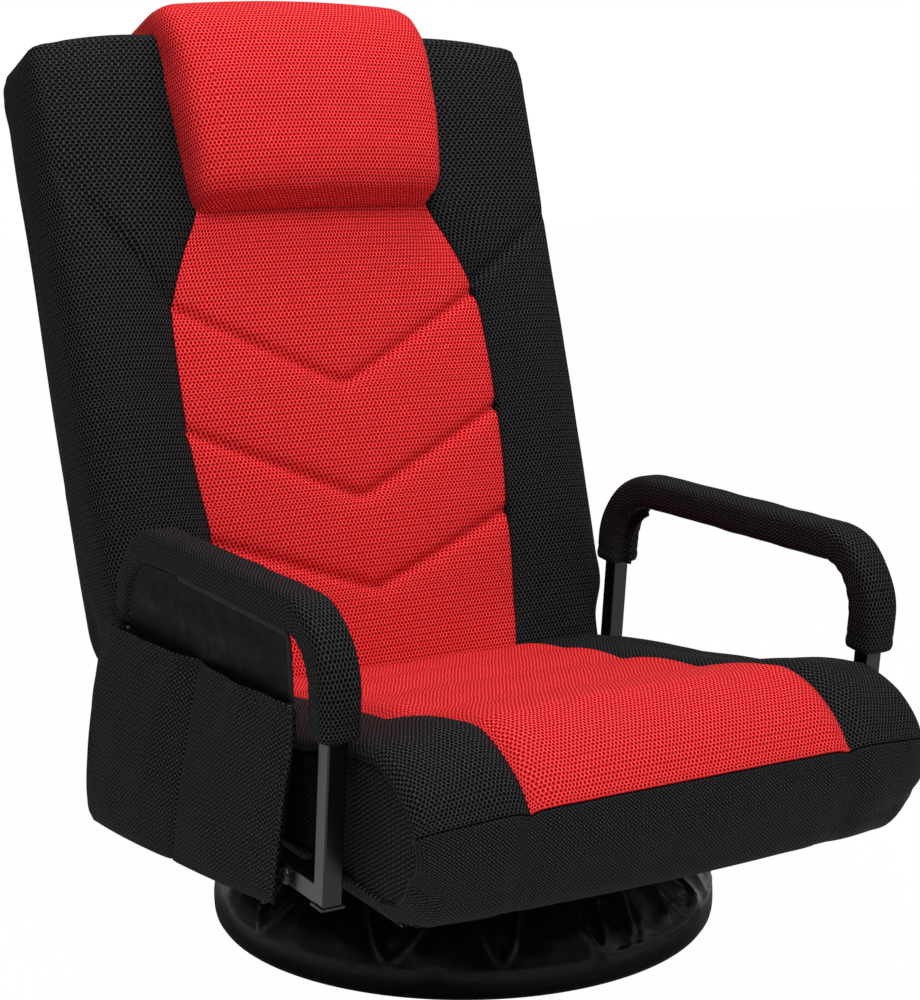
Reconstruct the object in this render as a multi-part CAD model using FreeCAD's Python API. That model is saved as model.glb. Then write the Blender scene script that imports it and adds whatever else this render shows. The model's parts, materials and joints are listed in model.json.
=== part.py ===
import FreeCAD, Part
import math
import os

# Floor gaming chair. Millimetres, +Z up. The origin is the point of the swivel axis on the floor.
# The sitter looks towards -Y, and the side pouch hangs on the -X arm.

V = FreeCAD.Vector
X = V(1, 0, 0)
Y = V(0, 1, 0)
Z = V(0, 0, 1)
ORIGIN = V(0, 0, 0)

# Floor ring and feet
ring_radius = 234.0
ring_tube_dia = 22.0
ring_wall = 1.5
foot_count = 4
foot_height = 2.5
foot_grip = 6.0
foot_length = 40.0
foot_width = 13.0

# Spokes and hub
spoke_size = 18.0
spoke_wall = 1.5
spoke_knee = 100.0
hub_dia = 64.0
hub_bore_dia = 44.0

# Swivel bearing
plate_size = 150.0
plate_thickness = 2.5
plate_corner_radius = 14.0
race_radius = 52.0
race_width = 22.0
race_height = 3.0
race_gap = 3.0
ball_dia = 6.0
ball_count = 12
ball_clearance = 0.3
cage_thickness = 1.0
cage_width = 13.0
swivel_pin_dia = 16.0
swivel_pin_head_dia = 28.0
swivel_pin_head = 3.0
plate_bolt_dia = 8.0
plate_bolt_spread = 120.0
plate_bolt_head_dia = 13.0
plate_bolt_head = 3.6

# Seat frame
seat_frame_height = 138.0
frame_tube = 18.0
frame_wall = 1.5
frame_inset = 28.0
frame_front = 329.0
frame_bend = 45.0
rear_bar_setback = 12.0
webbing_thickness = 2.0
webbing_width = 45.0
webbing_count = 7
cloth_thickness = 1.0
cloth_hole_margin = 6.0

# Recliner hinges
hinge_y = 186.4
hinge_above_frame = 18.0
rest_tilt = 18.9
flat_tilt = 90.0
step_count = 5
cheek_thickness = 2.5
cheek_radius = 31.0
cheek_strap_length = 64.0
cheek_gap = 18.0
wheel_thickness = 6.0
wheel_tip_radius = 27.0
tooth_depth = 4.0
wheel_hub_radius = 14.0
hinge_pin_dia = 12.0
hinge_pin_head_dia = 20.0
hinge_pin_head = 3.0
pawl_distance = 44.0
pawl_below_hinge = 6.0
pawl_thickness = 6.0
pawl_hub_radius = 7.0
pawl_width = 7.0
pawl_pin_dia = 6.0
pawl_pin_head_dia = 10.0
pawl_lift = 9.0
spring_thickness = 0.8
spring_width = 8.0

# Back frame
back_tube_dia = 20.0
back_tube_wall = 1.5
back_frame_top = 678.0
back_frame_bend = 70.0
back_tube_foot = 46.0
back_rail_dia = 16.0
back_strap_count = 9

# Back cushion
back_half_depth = 50.0
back_height = 720.0
back_corner_radius = 13.0
back_panel_depth = 28.0
back_seam_depth = 5.0
bolster_crown = 10.0
panel_crown = 5.0
groove_depth = 3.0
groove_half_width = 15.0
# Rows up the back: height, half width, front depth, rear depth, crown and panel width, as shares of
# back_height, seat_half_width, back_half_depth (twice), the crowns and seat_half_width.
back_row_shares = [
    (0.000, 1.020, 1.00, 1.00, 0.00, 0.588),
    (0.050, 1.022, 1.00, 1.00, 0.00, 0.592),
    (0.087, 1.033, 1.00, 1.05, 0.20, 0.612),
    (0.129, 1.080, 1.00, 1.20, 0.60, 0.630),
    (0.197, 1.090, 1.00, 1.32, 0.90, 0.655),
    (0.267, 1.096, 1.00, 1.36, 1.00, 0.670),
    (0.352, 1.102, 1.00, 1.37, 1.00, 0.692),
    (0.520, 1.110, 1.00, 1.34, 1.00, 0.700),
    (0.583, 1.110, 1.00, 1.33, 1.00, 0.690),
    (0.623, 1.110, 1.00, 1.32, 1.00, 0.660),
    (0.672, 1.110, 1.00, 1.31, 0.95, 0.605),
    (0.734, 1.112, 1.00, 1.30, 0.90, 0.523),
    (0.830, 1.118, 1.00, 1.28, 0.80, 0.515),
    (0.900, 1.118, 1.00, 1.24, 0.70, 0.508),
    (0.950, 1.112, 0.98, 1.17, 0.50, 0.500),
    (0.977, 1.090, 0.93, 1.02, 0.30, 0.490),
    (0.993, 1.040, 0.82, 0.82, 0.15, 0.480),
    (1.000, 0.950, 0.56, 0.54, 0.10, 0.470),
]
round_end_angles = [80.0, 65.0, 45.0, 22.0]
# Ends of each sewn V at the panel's edge and its point on the centre line, as shares of back_height.
chevron_shares = [(0.265, 0.167), (0.421, 0.302), (0.604, 0.471)]
chevron_reach = 182.0
back_rail_shares = [0.17, 0.47, 0.78]

# Head cushion
head_bottom = 527.0
head_top = 755.0
head_half_width = 157.0
head_depth = 56.0
head_rear = 40.0
# Rows up the head cushion: height, half width, depth in front and reach to the rear, as shares of its sizes.
head_row_shares = [
    (0.000, 0.865, 0.14, 1.00),
    (0.040, 0.895, 0.46, 1.00),
    (0.125, 0.930, 0.75, 1.00),
    (0.320, 0.980, 0.95, 1.00),
    (0.520, 1.000, 1.00, 1.00),
    (0.715, 0.985, 0.93, 1.00),
    (0.855, 0.945, 0.76, 1.00),
    (0.943, 0.900, 0.47, 0.85),
    (0.987, 0.850, 0.12, 0.40),
    (1.000, 0.800, -0.10, 0.00),
]

# Seat cushion
seat_half_width = 260.0
seat_drop = 3.0
seat_front = 384.0
seat_seam_rise = 95.0
seat_crest_rise = 148.5
seat_crest = 305.0
seat_panel_half_width = 163.0
seat_panel_depth = 27.0
crease_rise = 31.0
seam_dip = 5.0
seam_width = 8.0
channel_crown = 6.0
seat_side_round = 24.0
seat_side_lift = 5.0
# Cross seams of the seat, as shares of the way from the crease to the crest, along and up.
seat_seam_shares = [(0.218, 0.228), (0.438, 0.369), (0.727, 0.629)]

# Arms
arm_tube = 18.0
arm_wall = 1.5
arm_gap = 10.0
arm_front = 257.0
arm_rear = 159.0
arm_rise = 240.0
arm_lean = 5.7
arm_bend = 56.0
arm_rear_bend = 74.0
arm_edge_radius = 1.6
cap_thickness = 2.0
cap_overhang = 1.6
sleeve_width = 38.0
sleeve_depth = 34.0
sleeve_corner_radius = 13.0
sleeve_front_rise = 148.0
sleeve_rear_rise = 155.0
arm_bolt_front = 201.0
arm_bolt_rear = 84.0
arm_bolt_dia = 8.0
arm_bolt_head_dia = 15.0
arm_bolt_head = 4.4
arm_hex = 5.0
washer_dia = 18.0
washer_thickness = 1.2
spacer_dia = 20.0
nut_size = 13.0
nut_height = 6.5

# Side pouch
pouch_cloth = 2.5
pouch_drop = 38.0
pouch_mouth_height = 151.0
pouch_mouth_rise = 15.0
pouch_bottom_rise = 16.0
pouch_front_low = 187.0
pouch_front_high = 239.0
pouch_rear_low = 147.0
pouch_rear_high = 166.0
pouch_corner = 8.0
pouch_divider_low = 24.0
pouch_divider_high = 45.0
pouch_edge = 6.0
pouch_swell = 44.0
# Levels of the pouch: height, lean of the front edge, rounding of the lower rear corner, then how far
# it stands out at the rear edge, rear pocket, divider, front pocket and front edge, as shares of pouch_swell.
pouch_level_shares = [
    (0.00, 0.00, 1.00, 0.78, 0.70, 0.50, 0.36, 0.136),
    (0.04, 0.00, 0.35, 0.92, 0.80, 0.57, 0.40, 0.136),
    (0.12, 0.04, 0.00, 0.98, 0.86, 0.61, 0.44, 0.136),
    (0.35, 0.22, 0.00, 0.90, 0.80, 0.52, 0.40, 0.136),
    (0.65, 0.56, 0.00, 0.66, 0.60, 0.34, 0.34, 0.136),
    (1.00, 1.00, 0.00, 0.30, 0.33, 0.16, 0.28, 0.136),
]

# Base cover
skirt_cloth = 1.4
skirt_fold_count = 16
skirt_fold_depth = 11.0
skirt_top_radius = 130.0
skirt_wave_shares = [1.0, 0.0, -1.0, 0.0]
skirt_floor_gap = 1.0
elastic_width = 6.0
elastic_thickness = 1.5

# Clearances
seat_gap = 0.3
pin_clearance = 0.3
fit_clearance = 0.1
overrun = 2.0

# Derived heights and places
tilt = math.radians(rest_tilt)
frame_half_width = seat_half_width - frame_inset
seat_bottom = seat_frame_height - seat_drop
seat_seam_height = seat_frame_height + seat_seam_rise
seat_crest_height = seat_frame_height + seat_crest_rise
ring_height = foot_height + ring_tube_dia / 2
frame_middle = seat_frame_height + frame_tube / 2
frame_top = seat_frame_height + frame_tube
hinge_z = seat_frame_height + hinge_above_frame
plate_top = seat_frame_height
ridge_bottom = plate_top - plate_thickness - race_height
ball_height = ridge_bottom - race_gap / 2
lower_plate_top = ridge_bottom - race_gap - race_height
base_top = lower_plate_top - plate_thickness
pawl_y = hinge_y - pawl_distance
pawl_z = hinge_z - pawl_below_hinge
frame_tube_end = pawl_y - pawl_hub_radius - fit_clearance - spring_thickness
rear_bar_y = frame_tube_end - rear_bar_setback - frame_tube / 2
arm_x = seat_half_width + arm_gap + arm_tube / 2
arm_foot_z = seat_frame_height
sleeve_half = sleeve_depth / 2
sleeve_front_end = seat_frame_height + sleeve_front_rise
sleeve_rear_end = seat_frame_height + sleeve_rear_rise
arm_height = seat_frame_height + arm_rise
pouch_bottom = seat_frame_height - pouch_drop
pouch_mouth = seat_frame_height + pouch_mouth_height
step_angle = (flat_tilt - rest_tilt) / step_count
seat_rim = frame_half_width + frame_tube / 2 + overrun
slot_inner = frame_half_width - cheek_gap / 2 - cheek_thickness - hinge_pin_head - overrun
slot_outer = frame_half_width + cheek_gap / 2 + cheek_thickness + hinge_pin_head + overrun

saved = []


def line(a, b):
    """A straight edge."""
    return Part.LineSegment(a, b).toShape()


def arc(a, m, b):
    """An arc through three points, always less than half a circle here."""
    return Part.Arc(a, m, b).toShape()


def polygon(points):
    """A closed wire of straight edges."""
    return Part.makePolygon(points + [points[0]])


def corner_cut(before, corner, after, radius):
    """Where a rounding of this radius starts, its middle and where it ends."""
    back = (before - corner).normalize()
    ahead = (after - corner).normalize()
    half = back.getAngle(ahead) / 2
    reach = radius / math.tan(half)
    middle = (back + ahead).normalize() * (radius / math.sin(half) - radius)
    return corner + back * reach, corner + middle, corner + ahead * reach


def rounded(points, radii):
    """A closed wire through the points, each corner rounded by its own radius."""
    count = len(points)
    cuts = []
    for i, radius in enumerate(radii):
        if radius > 0:
            cuts.append(corner_cut(points[i - 1], points[i], points[(i + 1) % count], radius))
        else:
            cuts.append((points[i], points[i], points[i]))
    edges = []
    for i, (start, middle, end) in enumerate(cuts):
        if radii[i] > 0:
            edges.append(arc(start, middle, end))
        following = cuts[(i + 1) % count][0]
        if end.distanceToPoint(following) > fit_clearance / 10:
            edges.append(line(end, following))
    return Part.Wire(edges)


def path_wire(points, radii):
    """An open wire through the points, with a radius for each inner corner."""
    edges = []
    last = points[0]
    for i in range(1, len(points) - 1):
        start, middle, end = corner_cut(points[i - 1], points[i], points[i + 1], radii[i - 1])
        edges.append(line(last, start))
        edges.append(arc(start, middle, end))
        last = end
    edges.append(line(last, points[-1]))
    return Part.Wire(edges)


def grown(points, distance):
    """The corners of a convex outline moved outwards by a distance."""
    count = len(points)
    moved = []
    for i, corner in enumerate(points):
        back = (points[i - 1] - corner).normalize()
        ahead = (points[(i + 1) % count] - corner).normalize()
        half = back.getAngle(ahead) / 2
        moved.append(corner - (back + ahead).normalize() * (distance / math.sin(half)))
    return moved


def strip(points, half, normal, extra=0.0):
    """The two sides of a bar of this half width along an open line of points, as one closed outline."""
    left = []
    right = []
    for i, point in enumerate(points):
        before = points[i] - points[i - 1] if i > 0 else points[1] - points[0]
        after = points[i + 1] - points[i] if i < len(points) - 1 else before
        before = V(before).normalize()
        after = V(after).normalize()
        across = (normal.cross(before) + normal.cross(after)).normalize()
        across = across * (half / across.dot(normal.cross(before)))
        shift = ORIGIN
        if i == 0:
            shift = before * (-extra)
        if i == len(points) - 1:
            shift = after * extra
        left.append(point + across + shift)
        right.append(point - across + shift)
    return left + right[::-1]


def strip_radii(points, radius, half, normal):
    """Rounding radii that keep both sides of a strip concentric round its inner corners."""
    left = [0.0]
    right = [0.0]
    for i in range(1, len(points) - 1):
        turn = (points[i] - points[i - 1]).cross(points[i + 1] - points[i]).dot(normal)
        side = math.copysign(half, turn)
        left.append(radius - side)
        right.append(radius + side)
    return left + [0.0, 0.0] + right[::-1]


def slab(wire, depth):
    """A closed outline pushed along a depth vector."""
    return Part.Face(wire).extrude(depth)


def block(low, high):
    """A box between two corners."""
    size = high - low
    return Part.makeBox(size.x, size.y, size.z, low)


def rod(radius, start, end):
    """A round bar from start to end."""
    along = end - start
    return Part.makeCylinder(radius, along.Length, start, along)


def skin(wires):
    """A closed solid through outlines that have the same number of edges."""
    return Part.makeLoft(wires, True, True)


def mirrored(shape):
    """The same piece on the other side of the chair."""
    return shape.mirror(ORIGIN, X)


def both_sides(shape):
    """A piece and its mirror image."""
    return [shape, mirrored(shape)]


def turned(shape, count):
    """Copies of a piece, evenly spaced round the swivel axis."""
    copies = []
    for i in range(count):
        copy = shape.copy()
        copy.rotate(ORIGIN, Z, 360.0 * i / count)
        copies.append(copy)
    return copies


def on_back(shape):
    """Takes a piece from the back's own upright frame, with the hinge at its origin, to the chair."""
    placed = shape.copy()
    placed.rotate(ORIGIN, X, -rest_tilt)
    placed.translate(V(0, hinge_y, hinge_z))
    return placed


def save(node, solids):
    """Writes one node and keeps it for the summary."""
    pieces = []
    for solid in solids:
        pieces.extend(solid.Solids)
    shape = pieces[0] if len(pieces) == 1 else Part.makeCompound(pieces)
    shape.exportStep("parts/" + node + ".step")
    saved.append((node, shape))


def make_base():
    """Floor ring, glides, hub, four spokes and the lower half of the swivel bearing."""
    tube = ring_tube_dia / 2
    outer = Part.makeTorus(ring_radius, tube, V(0, 0, ring_height))
    inner = Part.makeTorus(ring_radius, tube - ring_wall, V(0, 0, ring_height))
    save("base_ring", [outer.cut(inner)])

    foot_reach = foot_width / 2
    foot_box = block(
        V(ring_radius - foot_reach, -foot_length / 2, 0),
        V(ring_radius + foot_reach, foot_length / 2, foot_height + foot_grip),
    )
    foot_ends = [e for e in foot_box.Edges if abs(e.tangentAt(0).z) > fit_clearance]
    foot = foot_box.makeFillet(foot_width / 3, foot_ends).cut(outer)
    foot.rotate(ORIGIN, Z, 180.0 / foot_count)
    save("base_feet", turned(foot, foot_count))

    half = spoke_size / 2
    spoke_top = base_top - half
    run = [
        V(ring_radius, 0, ring_height),
        V(spoke_knee, 0, spoke_top),
        V(0, 0, spoke_top),
    ]
    body = slab(polygon(strip(run, half, Y, 0.0)), Y * spoke_size)
    body.translate(Y * (-half))
    hollow = slab(polygon(strip(run, half - spoke_wall, Y, overrun)), Y * (spoke_size - 2 * spoke_wall))
    hollow.translate(Y * (spoke_wall - half))
    hub_low = base_top - spoke_size
    hub = rod(hub_dia / 2, V(0, 0, hub_low), V(0, 0, base_top))
    spoke = body.cut(hollow).cut(outer).cut(hub)
    far_side = rod(ring_radius - tube * 0.7, V(0, 0, 0), V(0, 0, base_top))
    spoke = spoke.common(far_side)
    hub = hub.cut(rod(hub_bore_dia / 2, V(0, 0, hub_low - overrun), V(0, 0, base_top + overrun)))
    save("base_hub", [hub])
    bolt_reach = math.hypot(plate_bolt_spread / 2, plate_bolt_spread / 2)
    bolt_hole = rod(
        plate_bolt_dia / 2 + pin_clearance, V(bolt_reach, 0, 0), V(bolt_reach, 0, base_top + overrun)
    )
    spoke = spoke.cut(bolt_hole)
    spoke.rotate(ORIGIN, Z, 180.0 / foot_count)
    save("base_spokes", turned(spoke, foot_count))

    save("swivel_lower_plate", [bearing_plate(base_top, lower_plate_top, 1)])
    save("swivel_upper_plate", [bearing_plate(plate_top - plate_thickness, plate_top - plate_thickness, -1)])
    save("swivel_pin", [swivel_pin()])
    save("swivel_bolts_lower", plate_bolts(lower_plate_top, base_top - spoke_size - plate_bolt_head, 1))
    save("swivel_bolts_upper", plate_bolts(plate_top - plate_thickness, frame_top, -1))


def bearing_plate(low, ridge_foot, side):
    """A square pressed plate with a raised ring that holds half of the ball race."""
    half = plate_size / 2
    corners = [V(-half, -half, low), V(half, -half, low), V(half, half, low), V(-half, half, low)]
    plate = slab(rounded(corners, [plate_corner_radius] * 4), Z * plate_thickness)
    ridge_low = min(ridge_foot, ridge_foot + side * race_height)
    ridge_high = ridge_low + race_height
    ring = rod(race_radius + race_width / 2, V(0, 0, ridge_low), V(0, 0, ridge_high))
    bore = rod(race_radius - race_width / 2, V(0, 0, ridge_low), V(0, 0, ridge_high))
    plate = plate.fuse(ring.cut(bore)).removeSplitter()
    race = Part.makeTorus(race_radius, ball_dia / 2 + ball_clearance, V(0, 0, ball_height))
    plate = plate.cut(race)
    pin_hole = swivel_pin_dia / 2 + (pin_clearance if side < 0 else fit_clearance)
    plate = plate.cut(rod(pin_hole, V(0, 0, low - overrun), V(0, 0, low + plate_thickness + overrun)))
    for x in (-1, 1):
        for y in (-1, 1):
            place = V(x * plate_bolt_spread / 2, y * plate_bolt_spread / 2, low - overrun)
            hole = rod(plate_bolt_dia / 2 + pin_clearance, place, place + Z * (plate_thickness + 2 * overrun))
            plate = plate.cut(hole)
    return plate


def swivel_pin():
    """Shouldered rivet that holds the two plates together."""
    head = swivel_pin_head_dia / 2
    bottom = rod(head, V(0, 0, base_top - swivel_pin_head), V(0, 0, base_top))
    top = rod(head, V(0, 0, plate_top + pin_clearance), V(0, 0, plate_top + pin_clearance + swivel_pin_head))
    shank = rod(swivel_pin_dia / 2, V(0, 0, base_top), V(0, 0, plate_top + pin_clearance))
    pin = bottom.fuse(top).fuse(shank).removeSplitter()
    ends = (base_top - swivel_pin_head, plate_top + pin_clearance + swivel_pin_head)
    rims = [e for e in pin.Edges if min(abs(e.CenterOfMass.z - z) for z in ends) < fit_clearance]
    return pin.makeChamfer(swivel_pin_head / 4, rims)


def plate_bolts(seat, far, side):
    """Four bolts whose heads lie between the plates, in one node."""
    bolts = []
    for x in (-1, 1):
        for y in (-1, 1):
            place = V(x * plate_bolt_spread / 2, y * plate_bolt_spread / 2, 0)
            head = rod(
                plate_bolt_head_dia / 2, place + Z * min(seat, seat + side * plate_bolt_head),
                place + Z * max(seat, seat + side * plate_bolt_head),
            )
            shank = rod(plate_bolt_dia / 2, place + Z * min(seat, far), place + Z * max(seat, far))
            bolts.append(head.fuse(shank).removeSplitter())
    return bolts


def make_ball_cage():
    """Balls of the swivel and the flat ring that spaces them."""
    ball = Part.makeSphere(ball_dia / 2, V(race_radius, 0, ball_height))
    low = ball_height - cage_thickness / 2
    high = ball_height + cage_thickness / 2
    cage = rod(race_radius + cage_width / 2, V(0, 0, low), V(0, 0, high))
    cage = cage.cut(rod(race_radius - cage_width / 2, V(0, 0, low - overrun), V(0, 0, high + overrun)))
    pocket = rod(
        ball_dia / 2 + fit_clearance, V(race_radius, 0, low - overrun), V(race_radius, 0, high + overrun)
    )
    for hole in turned(pocket, ball_count):
        cage = cage.cut(hole)
    save("swivel_balls", turned(ball, ball_count))
    save("swivel_ball_cage", [cage])


def skirt_ring(z, radius, fold_depth):
    """One level of the cover: a wavy outline with four sides to each fold."""
    points = []
    steps = skirt_fold_count * len(skirt_wave_shares)
    for i in range(steps):
        angle = math.radians(360.0) * i / steps
        out = radius + fold_depth * skirt_wave_shares[i % len(skirt_wave_shares)]
        points.append(V(out * math.cos(angle), out * math.sin(angle), z))
    return polygon(points)


def make_skirt():
    """Gathered cover over the base: smooth round the ring, folded where it is drawn in under the seat."""
    tube = ring_tube_dia / 2
    sides = skirt_fold_count * len(skirt_wave_shares)
    widest = (ring_radius + tube + pin_clearance) / math.cos(math.pi / sides) + skirt_cloth
    low = skirt_floor_gap
    high = base_top - overrun
    rise = high - ring_height
    levels = [
        (low, widest - tube * 0.32, 0.0),
        (foot_height + tube * 0.4, widest - tube * 0.06, 0.0),
        (ring_height, widest, 0.0),
        (ring_height + tube, widest - tube * 0.1, 0.0),
        (ring_height + rise * 0.25, widest - (widest - skirt_top_radius) * 0.1, skirt_fold_depth * 0.25),
        (ring_height + rise * 0.5, widest - (widest - skirt_top_radius) * 0.25, skirt_fold_depth * 0.8),
        (ring_height + rise * 0.78, widest - (widest - skirt_top_radius) * 0.68, skirt_fold_depth),
        (high, skirt_top_radius, skirt_fold_depth * 0.7),
    ]
    outer = skin([skirt_ring(z, r, fold) for z, r, fold in levels])
    inner_levels = [(z, r - skirt_cloth, fold) for z, r, fold in levels]
    first = inner_levels[0]
    last = inner_levels[-1]
    inner_levels[0] = (first[0] - overrun, first[1] - overrun, first[2])
    inner_levels[-1] = (last[0] + overrun, last[1] - overrun, last[2])
    inner_levels.insert(1, (low, first[1], 0.0))
    inner_levels.insert(-1, (high, last[1], last[2]))
    inner = skin([skirt_ring(z, r, fold) for z, r, fold in inner_levels])
    save("base_skirt", [outer.cut(inner)])

    band_radius = skirt_top_radius - skirt_fold_depth * 0.7 - skirt_cloth - seat_gap
    band = rod(band_radius, V(0, 0, high - elastic_width), V(0, 0, high))
    band = band.cut(rod(band_radius - elastic_thickness, V(0, 0, 0), V(0, 0, base_top)))
    save("skirt_elastic", [band])


def make_seat_frame():
    """U-shaped square tube with a rear bar and two rails, straps on top and a cloth below."""
    half = frame_tube / 2
    run = [
        V(frame_half_width, frame_tube_end, seat_frame_height),
        V(frame_half_width, -frame_front, seat_frame_height),
        V(-frame_half_width, -frame_front, seat_frame_height),
        V(-frame_half_width, frame_tube_end, seat_frame_height),
    ]
    body = slab(rounded(strip(run, half, Z), strip_radii(run, frame_bend, half, Z)), Z * frame_tube)
    inside = strip(run, half - frame_wall, Z, overrun)
    inside_radii = strip_radii(run, frame_bend, half - frame_wall, Z)
    hollow = slab(rounded(inside, inside_radii), Z * (frame_tube - 2 * frame_wall))
    hollow.translate(Z * frame_wall)
    body = body.cut(hollow)
    for y in (-arm_bolt_front, arm_bolt_rear):
        for side in (-1, 1):
            start = V(side * (frame_half_width - frame_tube), y, frame_middle)
            end = V(side * (frame_half_width + frame_tube), y, frame_middle)
            body = body.cut(rod(arm_bolt_dia / 2 + fit_clearance, start, end))
    save("seat_frame", [body])

    reach = frame_half_width - half
    save("seat_rear_bar", [cross_tube(reach - cheek_thickness, rear_bar_y)])
    rails = []
    for y in (-plate_bolt_spread / 2, plate_bolt_spread / 2):
        rail = cross_tube(reach, y)
        for x in (-plate_bolt_spread / 2, plate_bolt_spread / 2):
            hole = rod(
                plate_bolt_dia / 2 + fit_clearance, V(x, y, seat_frame_height - overrun),
                V(x, y, frame_top + overrun),
            )
            rail = rail.cut(hole)
        rails.append(rail)
    save("seat_rails", rails)

    first = -frame_front + frame_tube + webbing_width / 2
    last = rear_bar_y - frame_tube - webbing_width / 2
    straps = []
    for i in range(webbing_count):
        y = first + (last - first) * i / (webbing_count - 1)
        low = V(-frame_half_width - half, y - webbing_width / 2, frame_top)
        high = V(frame_half_width + half, y + webbing_width / 2, frame_top + webbing_thickness)
        straps.append(block(low, high))
    save("seat_webbing", straps)

    low = V(-frame_half_width - half, -frame_front - half, seat_frame_height - cloth_thickness)
    high = V(frame_half_width + half, rear_bar_y + half, seat_frame_height)
    corners = [V(low.x, low.y, low.z), V(high.x, low.y, low.z), V(high.x, high.y, low.z), V(low.x, high.y, low.z)]
    outer_bend = frame_bend + half
    sheet = slab(rounded(corners, [outer_bend, outer_bend, half, half]), Z * cloth_thickness)
    opening = math.hypot(plate_size / 2, plate_size / 2) + cloth_hole_margin
    save("seat_underside_cloth", [sheet.cut(rod(opening, V(0, 0, low.z - overrun), V(0, 0, high.z + overrun)))])


def cross_tube(reach, y):
    """A square tube between the two side tubes of the seat frame."""
    half = frame_tube / 2
    outer = block(V(-reach, y - half, seat_frame_height), V(reach, y + half, frame_top))
    inner_half = half - frame_wall
    inner = block(
        V(-reach - overrun, y - inner_half, seat_frame_height + frame_wall),
        V(reach + overrun, y + inner_half, frame_top - frame_wall),
    )
    return outer.cut(inner)


def hinge_point(radius, angle):
    """A point of the recliner wheel, at an angle in degrees from +Y, seen from +X."""
    turn = math.radians(angle)
    return V(0, hinge_y + radius * math.cos(turn), hinge_z + radius * math.sin(turn))


def pawl_tip_angle():
    """Angle of the tooth gap that the pawl meets, where its finger lies along the wheel's tangent."""
    reach = math.hypot(pawl_distance, pawl_below_hinge)
    to_pivot = 180.0 + math.degrees(math.atan2(pawl_below_hinge, pawl_distance))
    return to_pivot + math.degrees(math.acos((wheel_tip_radius - tooth_depth / 2) / reach))


def make_hinges():
    """Ratchet recliners: two cheeks on the seat tube, a toothed wheel on the back tube, a sprung pawl."""
    x_in = frame_half_width - cheek_gap / 2
    x_out = frame_half_width + cheek_gap / 2
    centre = V(0, hinge_y, hinge_z)
    pivot = V(0, pawl_y, pawl_z)

    strap = block(
        V(0, frame_tube_end - cheek_strap_length, seat_frame_height), V(cheek_thickness, hinge_y, frame_top)
    )
    head = rod(cheek_radius, centre, centre + X * cheek_thickness)
    bridge_corners = [
        V(0, frame_tube_end, frame_top),
        V(0, hinge_y, hinge_z + cheek_radius),
        V(0, hinge_y, hinge_z - cheek_radius),
        V(0, frame_tube_end, seat_frame_height),
    ]
    cheek = strap.fuse(head).fuse(slab(polygon(bridge_corners), X * cheek_thickness)).removeSplitter()
    cheek = cheek.cut(rod(hinge_pin_dia / 2 + fit_clearance, centre - X, centre + X * frame_tube))
    cheek = cheek.cut(rod(pawl_pin_dia / 2 + fit_clearance, pivot - X, pivot + X * frame_tube))
    outer = cheek.copy()
    outer.translate(X * x_out)
    inner = cheek.copy()
    inner.translate(X * (x_in - cheek_thickness))
    if arm_bolt_rear > frame_tube_end - cheek_strap_length - washer_dia:
        hole_start = V(x_in - frame_tube, arm_bolt_rear, frame_middle)
        hole = rod(arm_bolt_dia / 2 + fit_clearance, hole_start, hole_start + X * (3 * frame_tube))
        outer = outer.cut(hole)
        inner = inner.cut(hole)
    save("hinge_cheeks_right", [outer, inner])
    save("hinge_cheeks_left", [mirrored(outer), mirrored(inner)])

    pin = headed_pin(hinge_pin_dia, hinge_pin_head_dia, hinge_pin_head, centre, x_in, x_out)
    save("hinge_pins", both_sides(pin))
    small_pin = headed_pin(pawl_pin_dia, pawl_pin_head_dia, hinge_pin_head, pivot, x_in, x_out)
    save("pawl_pins", both_sides(small_pin))

    wheel = toothed_wheel(centre)
    save("ratchet_wheel_right", [wheel])
    save("ratchet_wheel_left", [mirrored(wheel)])
    pawl, heel, tip = make_pawl(pivot)
    save("pawl_right", [pawl])
    save("pawl_left", [mirrored(pawl)])

    below = (tip - heel).cross(X).normalize() * (spring_thickness / 2 + seat_gap)
    leaf_z = seat_frame_height + frame_wall + spring_thickness / 2
    along = tip - heel
    bend = heel + below + along * ((leaf_z - heel.z - below.z) / along.z)
    run = [V(0, frame_tube_end - frame_tube, leaf_z), bend, tip + below]
    outline = rounded(
        strip(run, spring_thickness / 2, X), strip_radii(run, pawl_hub_radius, spring_thickness / 2, X)
    )
    spring = slab(outline, X * spring_width)
    spring.translate(X * (frame_half_width - spring_width / 2))
    save("pawl_springs", both_sides(spring))


def headed_pin(dia, head_dia, head, centre, x_in, x_out):
    """A rivet across both cheeks, with a flat head outside each."""
    inner_face = x_in - cheek_thickness
    outer_face = x_out + cheek_thickness
    shank = rod(dia / 2, centre + X * inner_face, centre + X * outer_face)
    low_head = rod(head_dia / 2, centre + X * (inner_face - head), centre + X * inner_face)
    high_head = rod(head_dia / 2, centre + X * outer_face, centre + X * (outer_face + head))
    return shank.fuse(low_head).fuse(high_head).removeSplitter()


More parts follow.
